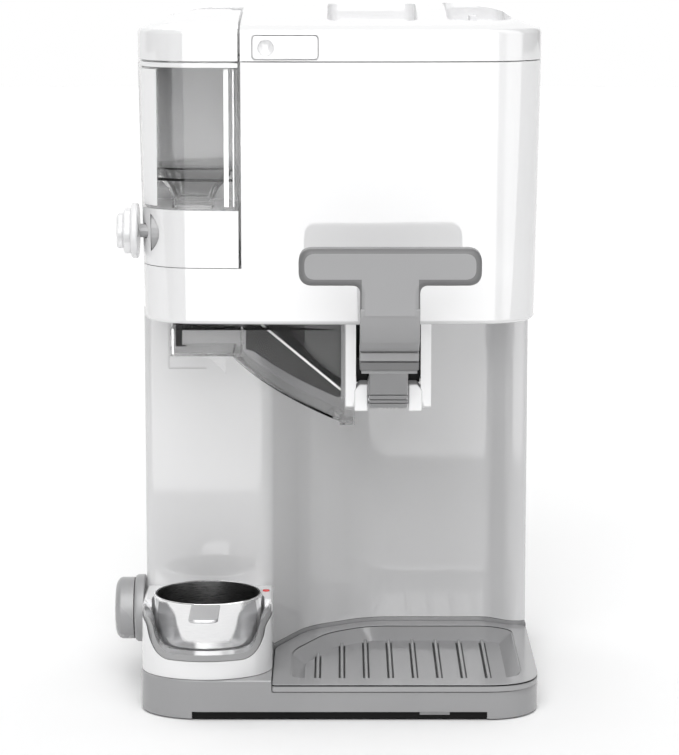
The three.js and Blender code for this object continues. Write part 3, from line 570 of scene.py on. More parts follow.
# ---------------- base
def plinth():
    arch, pad = 5.2, 86.3  # height of the arches between the corner pads, and where the pads start
    tab = (46.9, 64.4)  # of the tab that hangs in the front arch
    made = loft([(PLINTH_BOTTOM, base_ring(0.5)), (PLINTH_BOTTOM + 0.6, base_ring(0)),
                 (PLINTH_TOP - 0.6, base_ring(0)), (PLINTH_TOP, base_ring(0.6))])
    cut(made, prism(base_ring(3), arch - 0.2, 9.4))
    cut(made, block(-pad, pad, -100, REAR_OUT, 0, arch), block(-130, 130, -50, 110, 0, arch))
    cut(made, prism(tray_ring(-0.5), 16.9, 40), prism(basin_ring(-3), 11.4, 20))
    cut(made, block(-108, -50, 6, 130, 9, 40))
    for i in range(4):
        foot = f"foot_{i + 1}"
        cut(made, post(8.4, centre(foot, 0), centre(foot, 1), 0, 4.1, 48))
    join(made, block(*tab, PLINTH_FRONT + 1.4, PLINTH_FRONT + 5, 3.2, 6))
    soften(made, 0.35, 2, 40)
    # A near-black block under the front: painted shadow in the gap beneath the plinth
    under = overlap(prism(base_ring(1.6), 0.8, 5.1), block(0.1 - pad, pad - 0.1, FRONT_OUT, -40, 0, 6))
    cut(under, block(tab[0] - 0.1, tab[1] + 0.1, FRONT_OUT, PLINTH_FRONT + 5.1, 3, 6))
    settle(under, "plinth_painted_shadow", SHADE, "root", [])
    settle(made, "plinth_shell", BASE_GREY, "root", ["plinth"])


def column():
    low, high = span("column_shell", 2)
    made = prism(column_ring(0), low, high)
    cut(made, prism(column_ring(WALL), low - 1, high + 1), block(-110, 110, 125, REAR_OUT, 30, 226))
    cut(made, axle(3.6, 0, DIAL_Z, -125, -105, 32))
    groove = (COLUMN_FRONT - 1, COLUMN_FRONT + 0.8)  # a seam behind the chute
    cut(made, block(-102.6, -102, *groove, 196, 240), block(-102.6, -80, *groove, 195.6, 196.2))
    soften(made, 0.4, 2, 50)
    # Its darker white is painted shade from the overhanging housing
    settle(made, "column_shell_smooth", COLUMN_WHITE_PAINTED_SHADE, "root", ["column_shell"], 50)


def rear_cover():
    low, high = span("rear_cover", 1)
    bottom, top = span("rear_cover", 2)
    plate = frontways(rounded(rectangle(-112, 112, bottom, top), 6), low, high)
    for i in range(4):
        screw = f"rear_screw_{i + 1}"
        cut(plate, frontways(circle(centre(screw, 0), centre(screw, 2), 3.7, 40), 130, REAR_OUT))
    cut(plate, frontways(circle(80, 44, 7.5, 48), 130, REAR_OUT))
    for row in range(12):
        z = 150 + row * 7
        for middle in (-45, 45):
            vent = rounded(rectangle(middle - 32, middle + 32, z, z + 2.6), 1.2, 4)
            cut(plate, frontways(vent, 130, REAR_OUT))
    soften(plate, 0.5, 2, 40)
    settle(plate, "rear_cover_vented", WHITE, "root", ["rear_cover"])


# ---------------- upper housing
def taper_at(z):
    return TAPER * max(HOUSING_TOP - z, 0) / (HOUSING_TOP - HOUSING_BOTTOM)


def housing_levels(fillet, low, high, distance=0.0):
    """Levels of the housing's side, with a rounded bottom edge."""
    levels = []
    for i in range(EDGE_STEPS + 1):
        a = pi / 2 * i / EDGE_STEPS
        z = low + fillet * (1 - cos(a))
        levels.append((z, housing_ring(distance + fillet * (1 - sin(a)) + taper_at(z))))
    for i in range(1, EDGE_STEPS + 1):
        z = low + fillet + (high - low - fillet) * i / EDGE_STEPS
        levels.append((z, housing_ring(distance + taper_at(z))))
    return levels


def hopper_bay(distance, z0, z1):
    return block(LEFT_OUT, HOPPER_RIGHT + 1.6 + distance, FRONT_OUT, HOPPER_BACK + 0.6 + distance,
                 z0 - distance, z1)


def housing():
    floor, fillet = HOPPER_BOTTOM - 0.4, 2.6
    made = loft(housing_levels(fillet, HOUSING_BOTTOM, HOUSING_TOP - 0.3)
                + [(HOUSING_TOP, housing_ring(0.4))])
    cut(made, loft(housing_levels(2, HOUSING_BOTTOM + WALL, HOUSING_TOP + 1, WALL)))
    walls = loft(housing_levels(fillet, HOUSING_BOTTOM, HOUSING_TOP))
    overlap(walls, hopper_bay(WALL, floor, HOUSING_TOP - 0.1))
    join(made, walls)
    cut(made, hopper_bay(0, floor, HOUSING_TOP + 2), block(-106, 106, 125, REAR_OUT, 242, 374))
    under, over = 225, 240  # below and above the housing's floor
    motor = [centre("motor_pinion", axis) for axis in (0, 1)]
    cut(made, post(20.5, AXIS_X, AXIS_Y, under, over), post(10, *motor, under, over))
    cut(made, prism(rounded(rectangle(-94, -66, -72, -44), 3), under, 275),
        block(-112, -62, 90, 125, under, over))
    soften(made, 0.5, 3, 50)
    settle(made, "upper_housing_smooth", WHITE, "root", ["upper_housing"], 50)


# ---------------- lid and hopper cap
def dome_height(distance):
    """How high the dome stands at some distance in from the outline."""
    share = min(max((distance - LID_LEAN) / (LID_FLAT - LID_LEAN), 0), 1)
    return LID_EDGE + (LID_TOP - LID_EDGE) * (1 - (1 - share) ** 3)


def dome(distance=0.0):
    """The lid as one solid, moved inwards; its top falls to the front."""
    shoulder, turns, steps = LID_EDGE - LID_ROUND, 6, 20
    levels = [(LID_BOTTOM - distance * 2, housing_ring(distance + 0.3)),
              (LID_BOTTOM + 0.3, housing_ring(distance)),
              (shoulder - distance, housing_ring(distance))]
    for i in range(1, turns + 1):
        a = pi / 2 * i / turns
        z = shoulder + LID_ROUND * sin(a)
        levels.append((z - distance, housing_ring(distance + LID_LEAN * (1 - cos(a)))))
    for i in range(1, steps + 1):
        reach = LID_LEAN + (LID_FLAT - LID_LEAN) * (i / steps) ** 1.4
        levels.append((dome_height(reach) - distance, housing_ring(distance + reach)))
    slope = [(-130, 401.2), (-92.5, 401.9), (-62, 405.4), (-20, 410), (2, 411.8), (20, 412.6),
             (20, 440), (-130, 440)]
    return cut(loft(levels), sideways([(y, z - distance) for y, z in slope], LEFT_OUT, RIGHT_OUT))


GRIPS = ((-7, 45, -62, 22, 402.5), (62, 99, -60, 50, 397))  # the recesses: plan and floor
PORT = (69, 89, -14, 20)  # the pour-in opening's plan
BUTTON = (-49.4, -12.2, 384.7, 397.9)  # its front outline


def lid():
    edge, back = HOPPER_RIGHT + 1.4, HOPPER_BACK + LID_GAP
    left, right, bottom, top = BUTTON
    walls = [block(x0 - WALL, x1 + WALL, y0 - WALL, y1 + WALL, floor - WALL, LID_TOP + 1)
             for x0, x1, y0, y1, floor in GRIPS]
    walls += [block(LEFT_OUT, edge + WALL, FRONT_OUT, back + WALL, 380, 420),
              post(14, AXIS_X, AXIS_Y, 386, 406),
              block(left - 3, right + 3, -100, -78.5, LID_BOTTOM + 0.1, top + 3)]
    made = cut(dome(), dome(WALL))
    for wall in walls:
        join(made, overlap(wall, dome()))
    cut(made, block(LEFT_OUT, edge, FRONT_OUT, back, 370, 430))
    for *plan, floor in GRIPS:
        cut(made, prism(rounded(rectangle(*plan), 9), floor, 430))
    cut(made, block(*PORT, 380, 410), post(10, AXIS_X, AXIS_Y, 380, 400))
    slot = rounded(rectangle(left - 0.5, right + 0.5, bottom - 0.5, top + 0.5), 2.6)
    cut(made, frontways(slot, -100, -81))
    soften(made, 0.6, 3, 40)
    settle(made, "lid_shell_smooth", WHITE, "lid", ["lid_shell"], 50)


def lid_button():
    plate = frontways(rounded(rectangle(*BUTTON), 2.3), FRONT - 0.1, -83.6)
    soften(plate, 0.4, 3, 50)
    dimple = turned([(0, -2), (2, -1.9), (4.1, -1), (4.9, 0.9), (4.9, 2), (0, 2)], 0, 0, 64)
    place = Matrix.Translation((-41.8, FRONT + 0.4, 391.1))
    turned_to(dimple, place @ Matrix.Rotation(pi / 2, 4, "X"))
    cut(plate, dimple)
    settle(plate, "lid_button_plate", WHITE, "lid_button", ["lid_button"])


def hopper_cap():
    high = span("hopper_cap", 1)[1]
    right = span("hopper_cap", 0)[1]
    ledge = LID_EDGE - 0.6
    under, over, beside = 370, 420, -50  # past the cap, below, above and on its right
    made = overlap(dome(), block(LEFT_OUT, right, FRONT_OUT, high, under, over))
    cut(made, overlap(dome(WALL),
                      block(LEFT_OUT, right - WALL, FRONT_OUT, high - WALL, under, over)))
    cut(made, block(LEFT_OUT, beside, HINGE_Y, 0, HINGE_Z, over))
    join(made, overlap(axle(5.2, HINGE_Y, HINGE_Z, -120, right), dome()))
    shelf = [(LEFT_OUT, FRONT_OUT), (right, FRONT_OUT), (right, -66), (LEFT_OUT, -70)]
    join(made, overlap(dome(0.6), prism(shelf, ledge - 2.6, ledge + 12)))
    finger = [(LEFT_OUT, FRONT_OUT), (beside, FRONT_OUT), (beside, -68.5), (LEFT_OUT, -72.5)]
    cut(made, prism(finger, ledge, over))
    for x0, x1 in ((-100.6, -96.8), (HOPPER_RIGHT - 5.6, beside)):
        cut(made, block(x0, x1, HINGE_Y - 5.4, 0, under, over))
    cut(made, axle(1.9, HINGE_Y, HINGE_Z, -130, beside, 24))
    soften(made, 0.5, 3, 45)
    settle(made, "hopper_cap_smooth", WHITE, "hopper_cap", ["hopper_cap"], 50)


# ---------------- hopper
def hopper_limits(distance, z0, z1):
    """The hopper's right and rear sides, with a rounded corner between them."""
    plan = rectangle(LEFT_OUT, HOPPER_RIGHT - distance, FRONT_OUT, HOPPER_BACK - distance)
    return prism(rounded(plan, [0, 0, max(5 - distance, 1.5), 0]), z0, z1)


def housing_slab(distance, z0, z1):
    return loft([(z, housing_ring(distance + taper_at(z))) for z in (z0, (z0 + z1) / 2, z1)])


def hopper_shell(z0, z1):
    made = overlap(housing_slab(0, z0, z1), hopper_limits(0, z0 - 2, z1 + 2))
    return cut(made, overlap(housing_slab(HOPPER_WALL, z0 - 2, z1 + 2),
                             hopper_limits(HOPPER_WALL, z0 - 2, z1 + 2)))


def hopper():
    top, beside = 382.4, -50
    front = (FRONT_OUT, -60)  # the stretch along Y that is painted white as a highlight, not clear
    sill, head, rail = 300, 378.7, 379.5  # bottom and top of the corner painted white as a highlight, bottom of the rim
    corner_right = -104.5
    window = hopper_shell(WINDOW_BOTTOM, top)
    for x0 in (-100, HOPPER_RIGHT - 5):
        ear = rounded(rectangle(HINGE_Y - 4, HOPPER_BACK, 376, HINGE_Z + 2), 1.5)
        join(window, sideways(ear, x0, x0 + 2.6))
    cut(window, block(LEFT_OUT, corner_right, *front, sill, head),
        block(LEFT_OUT, beside, *front, rail, 390))
    settle(soften(window, 0.4, 2, 40), "hopper_window", WINDOW, "hopper", ["hopper_container"],
           50)
    front = (FRONT_OUT, front[1] - SEAM)
    # The window's left corner, its rim and two strips at its right edge are opaque white: painted
    # highlight on the clear plastic
    corner = overlap(hopper_shell(sill + SEAM, head - SEAM),
                     block(LEFT_OUT, corner_right - SEAM, *front, 290, 390))
    inlay(corner, "hopper_corner", WHITE_PAINTED_HIGHLIGHT, "hopper", sharp=50)
    rim = overlap(hopper_shell(rail + SEAM, top), block(LEFT_OUT, beside, *front, 370, 390))
    inlay(rim, "hopper_rim", WHITE_PAINTED_HIGHLIGHT, "hopper", sharp=50)
    edge_highlight_strips = join(block(-66, -63.2, -81.6, -79.6, 300.4, 379), block(-60.9, -60, -82, -79, 300.4, 379))
    inlay(edge_highlight_strips, "hopper_edge_painted_highlights", WHITE_PAINTED_HIGHLIGHT, "hopper")
    band = overlap(housing_slab(2.5, 314.8, 316.4), hopper_limits(2.5, 310, 320))
    cut(band, overlap(housing_slab(3.8, 310, 320), hopper_limits(3.8, 305, 325)))
    inlay(band, "hopper_band", SHADE, "hopper")
    base = overlap(housing_slab(0, HOPPER_BOTTOM, HOPPER_SHELF), hopper_limits(0, 260, 300))
    cut(base, axle(13.1, DRUM_Y, DRUM_Z, -109, -63), axle(4.6, DRUM_Y, DRUM_Z, -130, -105))
    cut(base, block(-94, -74, -70, -50, DRUM_Z, 300),
        prism(rounded(rectangle(-92, -70, -70, -50), 2), 260, DRUM_Z))
    cut(base, block(-112, -62, -36, -13, 260, 294))
    soften(base, 0.5, 3, 45)
    settle(base, "hopper_base_smooth", WHITE, "hopper", ["hopper_base"], 50)


def funnel():
    wall = 1.5
    throat, bend, mouth = (-96, -72, -70, -50), (-99, -69.5, -71.5, -41), (-107, -62.5, -77, -14)

    def plan(box, d):
        x0, x1, y0, y1 = box
        return x0 + d, x1 - d, y0 + d, y1 - d

    def ring(box, d, r):
        return rounded(rectangle(*plan(box, d)), [r, 4, 4, 4])

    outer = loft([(304, ring(throat, 0, 3)), (310, ring(bend, 0, 9)), (318, ring(mouth, 0, 28)),
                  (321, ring(mouth, 0, 28))])
    inner = loft([(303, ring(throat, wall, 3)), (310.4, ring(bend, wall, 8)),
                  (318.5, ring(mouth, wall, 27)), (322, ring(mouth, wall, 27))])
    neck = cut(block(*throat, 299, 304.5), block(*plan(throat, wall), 290, 310))
    made = join(cut(outer, inner), neck)
    settle(made, "hopper_funnel_smooth", CLEAR, "hopper", ["hopper_funnel"], 50)


def lobes(radius, depth):
    """The knob's outline, with six lobes."""
    points, steps = [], 144
    for i in range(steps):
        a = 2 * pi * i / steps
        r = radius - depth * (0.5 - 0.5 * cos(6 * a))
        points.append((DRUM_Y + r * cos(a), DRUM_Z + r * sin(a)))
    return points


def hopper_knob():
    tip, root = span("hopper_knob", 0)
    disc = axle(16, DRUM_Y, DRUM_Z, root - 4.2, root, 96)
    soften(disc, 1.4, 4, 50)
    middle = soften(sideways(lobes(14.2, 2.4), tip + 4.1, root - 3.9), 1.2, 4, 50)
    front = soften(sideways(lobes(11, 2.2), tip, tip + 4.4), 1.6, 4, 50)
    made = join(disc, middle, front)
    settle(made, "hopper_knob_smooth", KNOB, "drum", ["hopper_knob"], 40)


# ---------------- chute
def chute():
    low, high = span("mix_in_chute", 1)
    right, top, sill, tip, wall = 2.9, 232, 213, 173.5, 1.8

    def underside(d):
        return curve((-62, sill + d), (-42, 192 + d), (right - d, tip + d), 24)

    def side(d):
        return [(-98 + d, top), (-98 + d, sill + d)] + underside(d) + [(right - d, top)]

    made = frontways(side(0), low, high)
    inside = (low + wall, high - wall)
    cut(made, frontways(side(wall), *inside), block(-110, 10, *inside, 228, 240))
    join(made, frontways(rounded(rectangle(0, 8.8, 172.4, 177.4), 0.5), -72, -44))
    cut(made, block(-3, 7.8, -66, -50, 174, 186))
    soften(made, 0.5, 3, 35)
    settle(made, "mix_in_chute_smooth", SMOKE, "chute", ["mix_in_chute"], 45)

    # Thin dark plates inside: painted shade for the chute's dark interior seen through its smoked
    # walls
    flap = ([(-55.4, 230), (right - 2.2, 230), (right - 2.2, 183)]
            + [(x, z + 7) for x, z in reversed(underside(0)) if -52 < x < right - 3] + [(-55.4, 211)])
    pane = [(-20.6, 230), (0.4, 230), (0.4, 192), (-20.6, 208)]
    stripe = ([(-44, 230.4), (-32, 230.4)] + curve((-32, 230.4), (-18, 206), (1, 195.5), 12)[1:]
              + [(1, 191.6)] + curve((1, 191.6), (-20, 203), (-44, 230.4), 12)[1:-1])
    for name, material, outline, y0, y1 in (
            ("chute_painted_shade_deep", DEEP_PAINTED_SHADE, flap, -33.4, -32.2), ("chute_painted_shade_mid", MID_PAINTED_SHADE, pane, -37, -35.6),
            ("chute_painted_shade_black", SHADE, stripe, -46, -44.8)):
        inlay(frontways(outline[::-1], y0, y1), name, material, "chute", angle=50)
    # The ridge is opaque white: painted highlight in the smoked chute
    ridge = frontways([(-46, 229.2), (-45, 230), (1.2, 191.6), (0.4, 190.6)], -60, -58.6)
    collar = cut(frontways(rectangle(-96.4, -55.6, 212.6, 231.4), low, low + 1.2),
                 frontways(rectangle(-94.8, -57.2, 214.6, 240), low - 1, low + 2))
    fin = frontways([(-67, 213.2), (-84, 213.2), (-67, 197.6)], -41, -39.8)
    inlay(join(collar, fin), "chute_trim", CLEAR, "chute", 0.25)
    # A white strip on the collar's edge: painted glint
    glint = block(-97, -95.8, low + 0.2, low + 1, 214, 229)
    inlay(join(ridge, glint), "chute_ridge", WHITE_PAINTED_HIGHLIGHT, "chute", 0.25)
    slot = join(block(-95.2, -91.2, -69, -68.4, 218, 230.3), block(-91.2, -89, -69, -68.4, 218, 219))
    inlay(slot, "chute_slot", SHADE, "chute", 0.2)


# ---------------- dispensing head
CHEEKS = (3.5, 9.5, 47, 53)  # faces of the two cheeks along X
LEVER_X = 28.1
PIN_BORE = (2.9, PIN_Y, PIN_Z, 0, 60, 40)


def bracket():
    top = 232

    def cheek(x0, x1):
        outline = rounded([(-76, 182.4), (-58, 182.4), (24, 184), (28, 190), (28, top), (-76, top)],
                          [5, 5, 3, 3, 0, 0])
        return sideways(outline, x0, x1)

    def lug(inner, outer):
        """A squared bearing boss, chamfered at its outer top corner."""
        lean = copysign(3, inner - outer)
        outline = [(outer, 181.4), (inner, 181.4), (inner, 197.2), (outer + lean, 197.2),
                   (outer, 193.4)]
        if outer > inner:
            outline.reverse()
        return soften(frontways(outline, -78.5, -62), 0.8, 3, 30)

    left, left_in, right_in, right = CHEEKS
    made = join(cheek(left, left_in), cheek(right_in, right))
    join(made, block(left, right, 23, 28, 190, top), block(left + 1, right - 1, -11, 24, 184, 190))
    cut(made, block(2, left_in - 2, -80, -75, 170, 190), block(right_in + 2, 60, -80, -75, 170, 190))
    soften(made, 0.7, 3, 40)
    join(made, lug(16.4, left_in - 0.9), lug(39.8, right_in + 0.9))
    cut(made, post(12.9, AXIS_X, AXIS_Y, 180, 195), axle(*PIN_BORE))
    settle(made, "spout_bracket_smooth", WHITE, "root", ["spout_bracket"], 45)
    # Near-black plate and screen behind the lever: painted shade for the dark hollow between the lugs
    plate = cut(block(left_in + 0.2, right_in - 0.2, -16, -14, 192, 231.6),
                block(LEVER_X - 3.6, LEVER_X + 3.6, -20, -10, 190, 231))
    screen = cut(block(left_in + 0.3, right_in - 0.3, -62, -60.6, 196, 210),
                 block(LEVER_X - 11.6, LEVER_X + 11.6, -70, -50, 190, 220))
    inlay(join(plate, screen), "bracket_painted_shade_plate", SHADE, "root")


def lever():
    low, high = span("lever_handle", 0)
    front = span("lever_handle", 1)[0]
    bottom, top = 262.7, 283.4
    stem, tongue, fillet, edge = 16.7, 11, 4.6, 3.4
    left, right = LEVER_X - stem, LEVER_X + stem
    tee = rounded([
        (left, 240), (right, 240), (right, bottom), (high, bottom),
        (high, top), (low, top), (low, bottom), (left, bottom)],
        [0, 0, fillet, 8, 8, 8, 8, fillet], 12)
    levels = []
    for i in range(EDGE_STEPS + 1):
        a = pi / 2 * i / EDGE_STEPS
        levels.append((front + edge * (1 - sin(a)), inset(tee, edge * (1 - cos(a)))))
    levels.reverse()
    levels += [(front + 12, tee), (front + 13.4, inset(tee, 0.5)), (front + 14, inset(tee, 1.6))]
    bar = cut(frontways_loft(levels), block(-100, 100, -160, -120, 230, 246))
    pad = rounded(rectangle(low + 3.3, high - 3.3, bottom + 3.8, top - 2.6), 6)
    depth = (front - 1, front + 3.2)
    face = join(frontways(pad, *depth),
                frontways(rectangle(left + 0.9, right - 0.9, 240, bottom + 8), *depth))
    middle = overlap(duplicate(bar), duplicate(face))
    cut(bar, face)
    # The rounded rim in the darker grey: painted shade and dark reflection
    settle(bar, "lever_bar_rim", LEVER_GREY_PAINTED_SHADE, "lever", [], 42)
    settle(middle, "lever_bar_face", GREY, "lever", [], 42)
    arm_side = (curve((-144.9, 250), (-144.6, 238), (-134, 229)) + [(-121.6, 222.8), (-100, 222.8)]
                + curve((-112, 228), (-129, 238), (-132, 250)))
    arm = soften(sideways(arm_side, left, right), 0.8, 4, 50)
    knuckle = soften(block(left, right, -122.4, -88, 217.3, 222.4), 0.9, 4, 50)
    core = block(left + 1, right - 1, -119.6, -89, 210, 224)
    bridge_side = rounded([
        (-112, 216), (-104, 206), (-82, 184.5), (-75, 182.4), (-66, 182.4), (-26, 186),
        (-26, 194.4), (-62, 195.8), (-84, 214)], [0, 3, 2, 2, 2, 2, 2, 4, 0])
    bridge = soften(sideways(bridge_side, LEVER_X - tongue, LEVER_X + tongue), 0.9, 3, 50)
    made = join(arm, knuckle, core, bridge)
    cut(made, axle(*PIN_BORE))
    cut(made, block(LEVER_X - 5.6, LEVER_X + 5.6, PIN_Y - 9, PIN_Y + 9, 170, 200))
    for z in (192.9, 189.6, 187.2):
        floor = -(z + 189.615) / 4.85  # the grooves end on a plane that leans by 1 in 4.85
        cut(made, block(LEVER_X - 12, LEVER_X + 12, -95, floor, z - 0.3, z + 0.3))
    settle(made, "lever_handle_smooth", GREY, "lever", ["lever_handle"], 42)
    # The sill in the darker grey: painted shade under the housing
    sill = soften(block(left, right, -121.8, -88.4, 211.9, 216.8), 0.9, 4, 50)
    settle(sill, "lever_sill", LEVER_GREY_PAINTED_SHADE, "lever", [], 42)


# ---------------- pod, cup, tray, dial
def pod_ring(distance):
    half = 38.5 - distance
    front = PLINTH_FRONT + 1 + distance
    back = -8.5 - distance
    return tidy([(POD_X + half, back), (POD_X - half, back)]
                + arc(POD_X, front + half * 0.8, half, half * 0.8, 180, 360, 48))


def pod():
    made = loft([(POD_BOTTOM, pod_ring(0)), (POD_TOP - 1.6, pod_ring(0)),
                 (POD_TOP - 0.8, pod_ring(0.3)), (POD_TOP - 0.3, pod_ring(0.8)),
                 (POD_TOP, pod_ring(1.6))])
    half = [(39, 75), (39, 66), (36.4, 60.4), (31.5, 55), (29.8, 46), (25, 38.8)]
    mouth = rounded([(POD_X - x, z) for x, z in half] + [(POD_X + x, z) for x, z in reversed(half)],
                    [0, 2, 4, 5, 8, 9, 9, 8, 5, 4, 2, 0], 10)
    rim = inset(mouth, -3.6)
    lip = overlap(prism(pod_ring(0.5), 30, POD_TOP - 1), frontways(rim, -100, CUP_Y - 8))
    cut(lip, frontways(mouth, -100, CUP_Y), post(33.4, POD_X, CUP_Y, 20, 80, 128))
    cut(made, post(33.6, POD_X, CUP_Y, 37, 80, 128),
        frontways(inset(rim, -0.35), -100, CUP_Y - 8.2), frontways(mouth, -100, CUP_Y))
    soften(lip, 0.7, 3, 45)
    settle(lip, "cup_pod_lip", LIP, "root", [], 45)
    cut(made, post(29.4, POD_X, CUP_Y, 34, 40, 96), post(26, POD_X, CUP_Y, 20, 34.2, 96))
    cut(made, post(2.4, -44.2, -24, 50, 70, 32))  # for the indicator lens
    soften(made, 0.8, 3, 40)
    settle(made, "cup_pod_smooth", WHITE, "root", ["cup_pod"], 45)


def cup():
    low, high = span("melting_cup", 2)
    r = 32.2
    profile = [
        (0, low), (29.4, low), (30.6, low + 0.5), (31.1, low + 1.8), (r, high - 0.6),
        (r - 0.2, high - 0.15), (r - 0.6, high), (r - 1.0, high - 0.3), (30.0, low + 2.6),
        (29.6, low + 1.7), (28.6, low + 1.2), (0, low + 1.2)]
    made = turned(profile, POD_X, CUP_Y, 160)
    front, root, half = span("melting_cup", 1)[0], -76.2, 8.5
    tab = rounded([(POD_X - half, root), (POD_X - half, front), (POD_X + half, front),
                   (POD_X + half, root)], [0, 6, 6, 0], 10)
    handle = cut(prism(tab, high - 2.2, high - 0.2), post(r - 0.6, POD_X, CUP_Y, 60, 70, 128))
    soften(handle, 0.5, 3, 40)
    settle(made, "melting_cup_smooth", STAINLESS, "cup", ["melting_cup"], 40)
    # A dark lining inside the cup: painted shade on its steel
    lining = [
        (0, low + 1.3), (28.6, low + 1.3), (29.5, low + 1.9), (r - 1.5, high - 0.5),
        (r - 1.8, high - 0.5), (29.1, low + 2.1), (28.4, low + 1.6), (0, low + 1.6)]
    inside = turned(lining, POD_X, CUP_Y, 128)
    settle(inside, "melting_cup_inside", CUP_STEEL_PAINTED_SHADE, "cup", [], 40)
    settle(handle, "melting_cup_handle", BRUSHED, "cup", [], 40)


def tray():
    rim = loft([(z, tray_ring(distance)) for z, distance in (
        (17.4, 0.6), (17.8, 0.3), (20.7, 0.3), (20.7, 1.2), (21.2, 1.2), (21.2, 0.1), (21.6, 0.1),
        (TRAY_TOP, 0.3))])
    floor, rib_top, rib_front = 14, 16.6, -66
    ribs = [(-13.1 + i * 14.6, (6, 32, 40)[min(i, 2)]) for i in range(8)]  # X and rear end of each
    join(rim, prism(basin_ring(-2), TRAY_BOTTOM, 17.6))
    cut(rim, loft([(floor, basin_ring(TRAY_TOP - floor)), (TRAY_TOP - 0.5, basin_ring(0.5)),
                   (TRAY_TOP - 0.5, basin_ring(-0.3)), (TRAY_TOP + 1, basin_ring(-0.3))]))
    for x, back in ribs:
        cut(rim, block(x - 1.9, x + 1.9, rib_front - 0.4, back + 0.4, floor - 0.9, floor + 0.4))
        rib = rounded([(x - 1.1, floor - 1), (x + 1.1, floor - 1), (x + 0.9, rib_top),
                       (x - 0.9, rib_top)], [0, 0, 0.8, 0.8], 5)
        join(rim, frontways(rib, rib_front, back))
    # Near-black lines round the basin's edge, at the tray's seam and beside each rib: painted shade in
    # the grooves
    lines = cut(prism(basin_ring(-0.9), TRAY_TOP - 0.6, TRAY_TOP - 0.15),
                prism(basin_ring(-0.25), 10, 30))
    seam = cut(prism(tray_ring(0.05), 20.9, 21.6), prism(tray_ring(1.4), 10, 30))
    join(lines, seam)
    for x, back in ribs:
        for side in (-1.55, 1.55):
            join(lines, block(x + side - 0.45, x + side + 0.45, rib_front, back,
                              floor - 0.8, floor + 0.15))
    band = cut(prism(tray_ring(0.02), 17.7, 20.6), prism(tray_ring(1), 10, 30))
    for piece in (rim, lines, band):
        cut(piece, prism(column_ring(-0.4), 0, 60))
    settle(lines, "drip_tray_grooves", SHADE, "tray", [], 30)
    settle(band, "drip_tray_band", PALE, "tray", [], 30)
    settle(rim, "drip_tray_smooth", BASE_GREY, "tray", ["drip_tray"], 30)


def dial():
    tip, root = span("dial_knob", 0)
    back = span("dial_skirt", 0)[1]
    cap = [(0, root), (18.8, root), (18.8, root - 7.4), (18.2, root - 9), (16.6, root - 10.4),
           (14.2, root - 11.2), (9, tip + 0.15), (0, tip)]
    made = turned_x(cap, 0, DIAL_Z)
    settle(made, "dial_knob_smooth", PALE, "dial", ["dial_knob"], 40)
    skirt = [(0, -118.3), (19.9, -118.3), (20.5, -118.9), (20.5, -122.6), (19.6, -124.1),
             (18.4, -124.5), (0, -124.5)]
    ring = join(turned_x(skirt, 0, DIAL_Z), axle(3, 0, DIAL_Z, -119, back, 40))
    settle(ring, "dial_skirt_smooth", PALE, "dial", ["dial_skirt"], 40)


for build in (plinth, column, rear_cover, housing, lid, lid_button, hopper_cap, hopper, funnel,
              hopper_knob, chute, bracket, lever, pod, cup, tray, dial):
    build()


# ---------------- stage, light and camera
FLOOR_FRONT = -0.62  # metres; the floor ends here, so that glossy fronts mirror the studio
FLOOR_GLOW = 0.85  # what the ground gives off where the floor doesn't reach


def studio():
    bm = bmesh.new()
    bmesh.ops.create_grid(bm, x_segments=2, y_segments=2, size=6.0)
    for vert in bm.verts:
        vert.co.y = max(vert.co.y, FLOOR_FRONT)
    floor = meshed(bm, "studio_floor")
    material, nodes, links, shader = graph_of("studio_floor")
    tone = mottled(nodes, links, 3, 0, 1)
    colour = tinted(nodes, links, tone, (0.94, 0.94, 0.94), (0.95, 0.95, 0.95))
    links.new(colour, shader.inputs["Base Color"])
    fill(shader, {"Roughness": 0.5, "Specular IOR Level": 0.0})
    floor.data.materials.append(material)


def lamp(name, elevation, azimuth, softness, power):
    """A soft distant lamp; azimuth 0 shines from the front, negative from the left."""
    data = bpy.data.lights.new(name, "SUN")
    data.angle = radians(softness)
    data.energy = power
    made = added(name, data)
    up, around = radians(elevation), radians(azimuth)
    source = Vector((sin(around) * cos(up), -cos(around) * cos(up), sin(up)))
    made.rotation_euler = (-source).to_track_quat("-Z", "Y").to_euler()


# What reflections see of the studio's walls, by the share of a full turn from straight behind the
# machine, anticlockwise seen from above
PANELS = [
    (0.0, 1.1), (0.17, 1.1),  # rear wall
    (0.19, 0.3), (0.35, 0.3),  # dark gap on the left
    (0.36, 0.5), (0.423, 0.5),  # dim strip at the front left
    (0.426, 3.6), (0.58, 3.6),  # front panel
    (0.595, 1.6), (0.625, 1.6),  # its softer right side
    (0.64, 2.6), (0.72, 2.6),  # panel on the right
    (0.74, 0.15), (0.9, 0.15),  # dark gap on the right
    (0.93, 1.1), (1.0, 1.1)]  # rear wall


def node_math(nodes, links, operation, a, b):
    made = nodes.new("ShaderNodeMath")
    made.operation = operation
    for socket, value in zip(made.inputs, (a, b)):
        if isinstance(value, (int, float)):
            socket.default_value = value
        else:
            links.new(value, socket)
    return made.outputs["Value"]


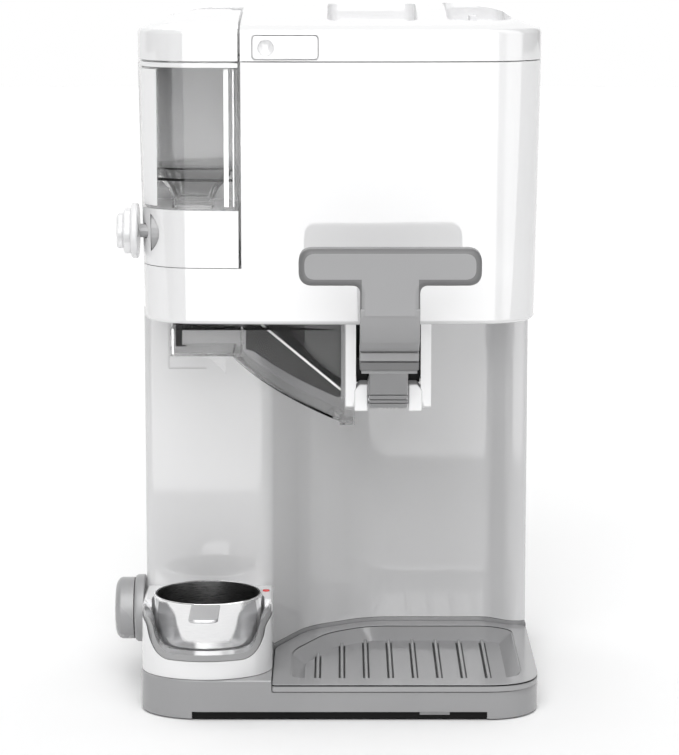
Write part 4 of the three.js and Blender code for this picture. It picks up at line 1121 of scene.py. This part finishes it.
def world(front, rear):
    """A white studio: pure white to the eye, soft on surfaces, and panelled in reflections."""
    sky = bpy.data.worlds.new("studio")
    sky.use_nodes = True
    nodes, links = sky.node_tree.nodes, sky.node_tree.links
    where = nodes.new("ShaderNodeTexCoord")
    split = nodes.new("ShaderNodeSeparateXYZ")
    links.new(where.outputs["Generated"], split.inputs["Vector"])
    ramp = nodes.new("ShaderNodeMapRange")
    ramp.interpolation_type = "SMOOTHSTEP"
    fill(ramp, {"From Min": -0.1, "From Max": 0.5, "To Min": front, "To Max": rear})
    links.new(split.outputs["Y"], ramp.inputs["Value"])
    towards = node_math(nodes, links, "MULTIPLY", split.outputs["Y"], -1)
    turn = node_math(nodes, links, "ARCTAN2", split.outputs["X"], towards)
    share = node_math(nodes, links, "ADD", node_math(nodes, links, "DIVIDE", turn, tau), 0.5)
    panels = nodes.new("ShaderNodeFloatCurve")
    points = panels.mapping.curves[0].points
    brightest = max(level for _, level in PANELS)
    while len(points) < len(PANELS):
        points.new(0.5, 0.5)
    for point, (at, level) in zip(points, PANELS):
        point.location = (at, level / brightest)
        point.handle_type = "VECTOR"
    panels.mapping.update()
    links.new(share, panels.inputs["Value"])
    path = nodes.new("ShaderNodeLightPath")
    mirrored = node_math(nodes, links, "MULTIPLY", panels.outputs["Value"], brightest)
    below = nodes.new("ShaderNodeMix")
    links.new(node_math(nodes, links, "LESS_THAN", split.outputs["Z"], 0), below.inputs["Factor"])
    links.new(ramp.outputs["Result"], below.inputs["A"])
    fill(below, {"B": FLOOR_GLOW})
    level = nodes.new("ShaderNodeMix")
    links.new(path.outputs["Is Glossy Ray"], level.inputs["Factor"])
    links.new(below.outputs["Result"], level.inputs["A"])
    links.new(mirrored, level.inputs["B"])
    lit = nodes["Background"]
    seen = nodes.new("ShaderNodeBackground")
    mix = nodes.new("ShaderNodeMixShader")
    for background in (lit, seen):
        fill(background, {"Color": (1, 1, 1, 1)})
    links.new(level.outputs["Result"], lit.inputs["Strength"])
    links.new(path.outputs["Is Camera Ray"], mix.inputs["Fac"])
    links.new(lit.outputs["Background"], mix.inputs[1])
    links.new(seen.outputs["Background"], mix.inputs[2])
    links.new(mix.outputs["Shader"], nodes["World Output"].inputs["Surface"])
    bpy.context.scene.world = sky


def camera():
    """A long lens a little above the machine, in front of its middle and tilted down."""
    data = bpy.data.cameras.new("camera")
    data.sensor_width = 36
    data.lens = 143.09404
    data.clip_end = 50
    made = added("camera", data)
    made.location = (MIDDLE * MM, -1.791, 0.4725)
    made.rotation_euler = (radians(81), 0, 0)
    bpy.context.scene.camera = made


studio()
world(0.12, 1.0)
lamp("front_lamp", 35, -5, 45, 1.5)
lamp("top_lamp", 70, 0, 60, 1.3)
camera()
bpy.context.scene.view_settings.view_transform = "Standard"
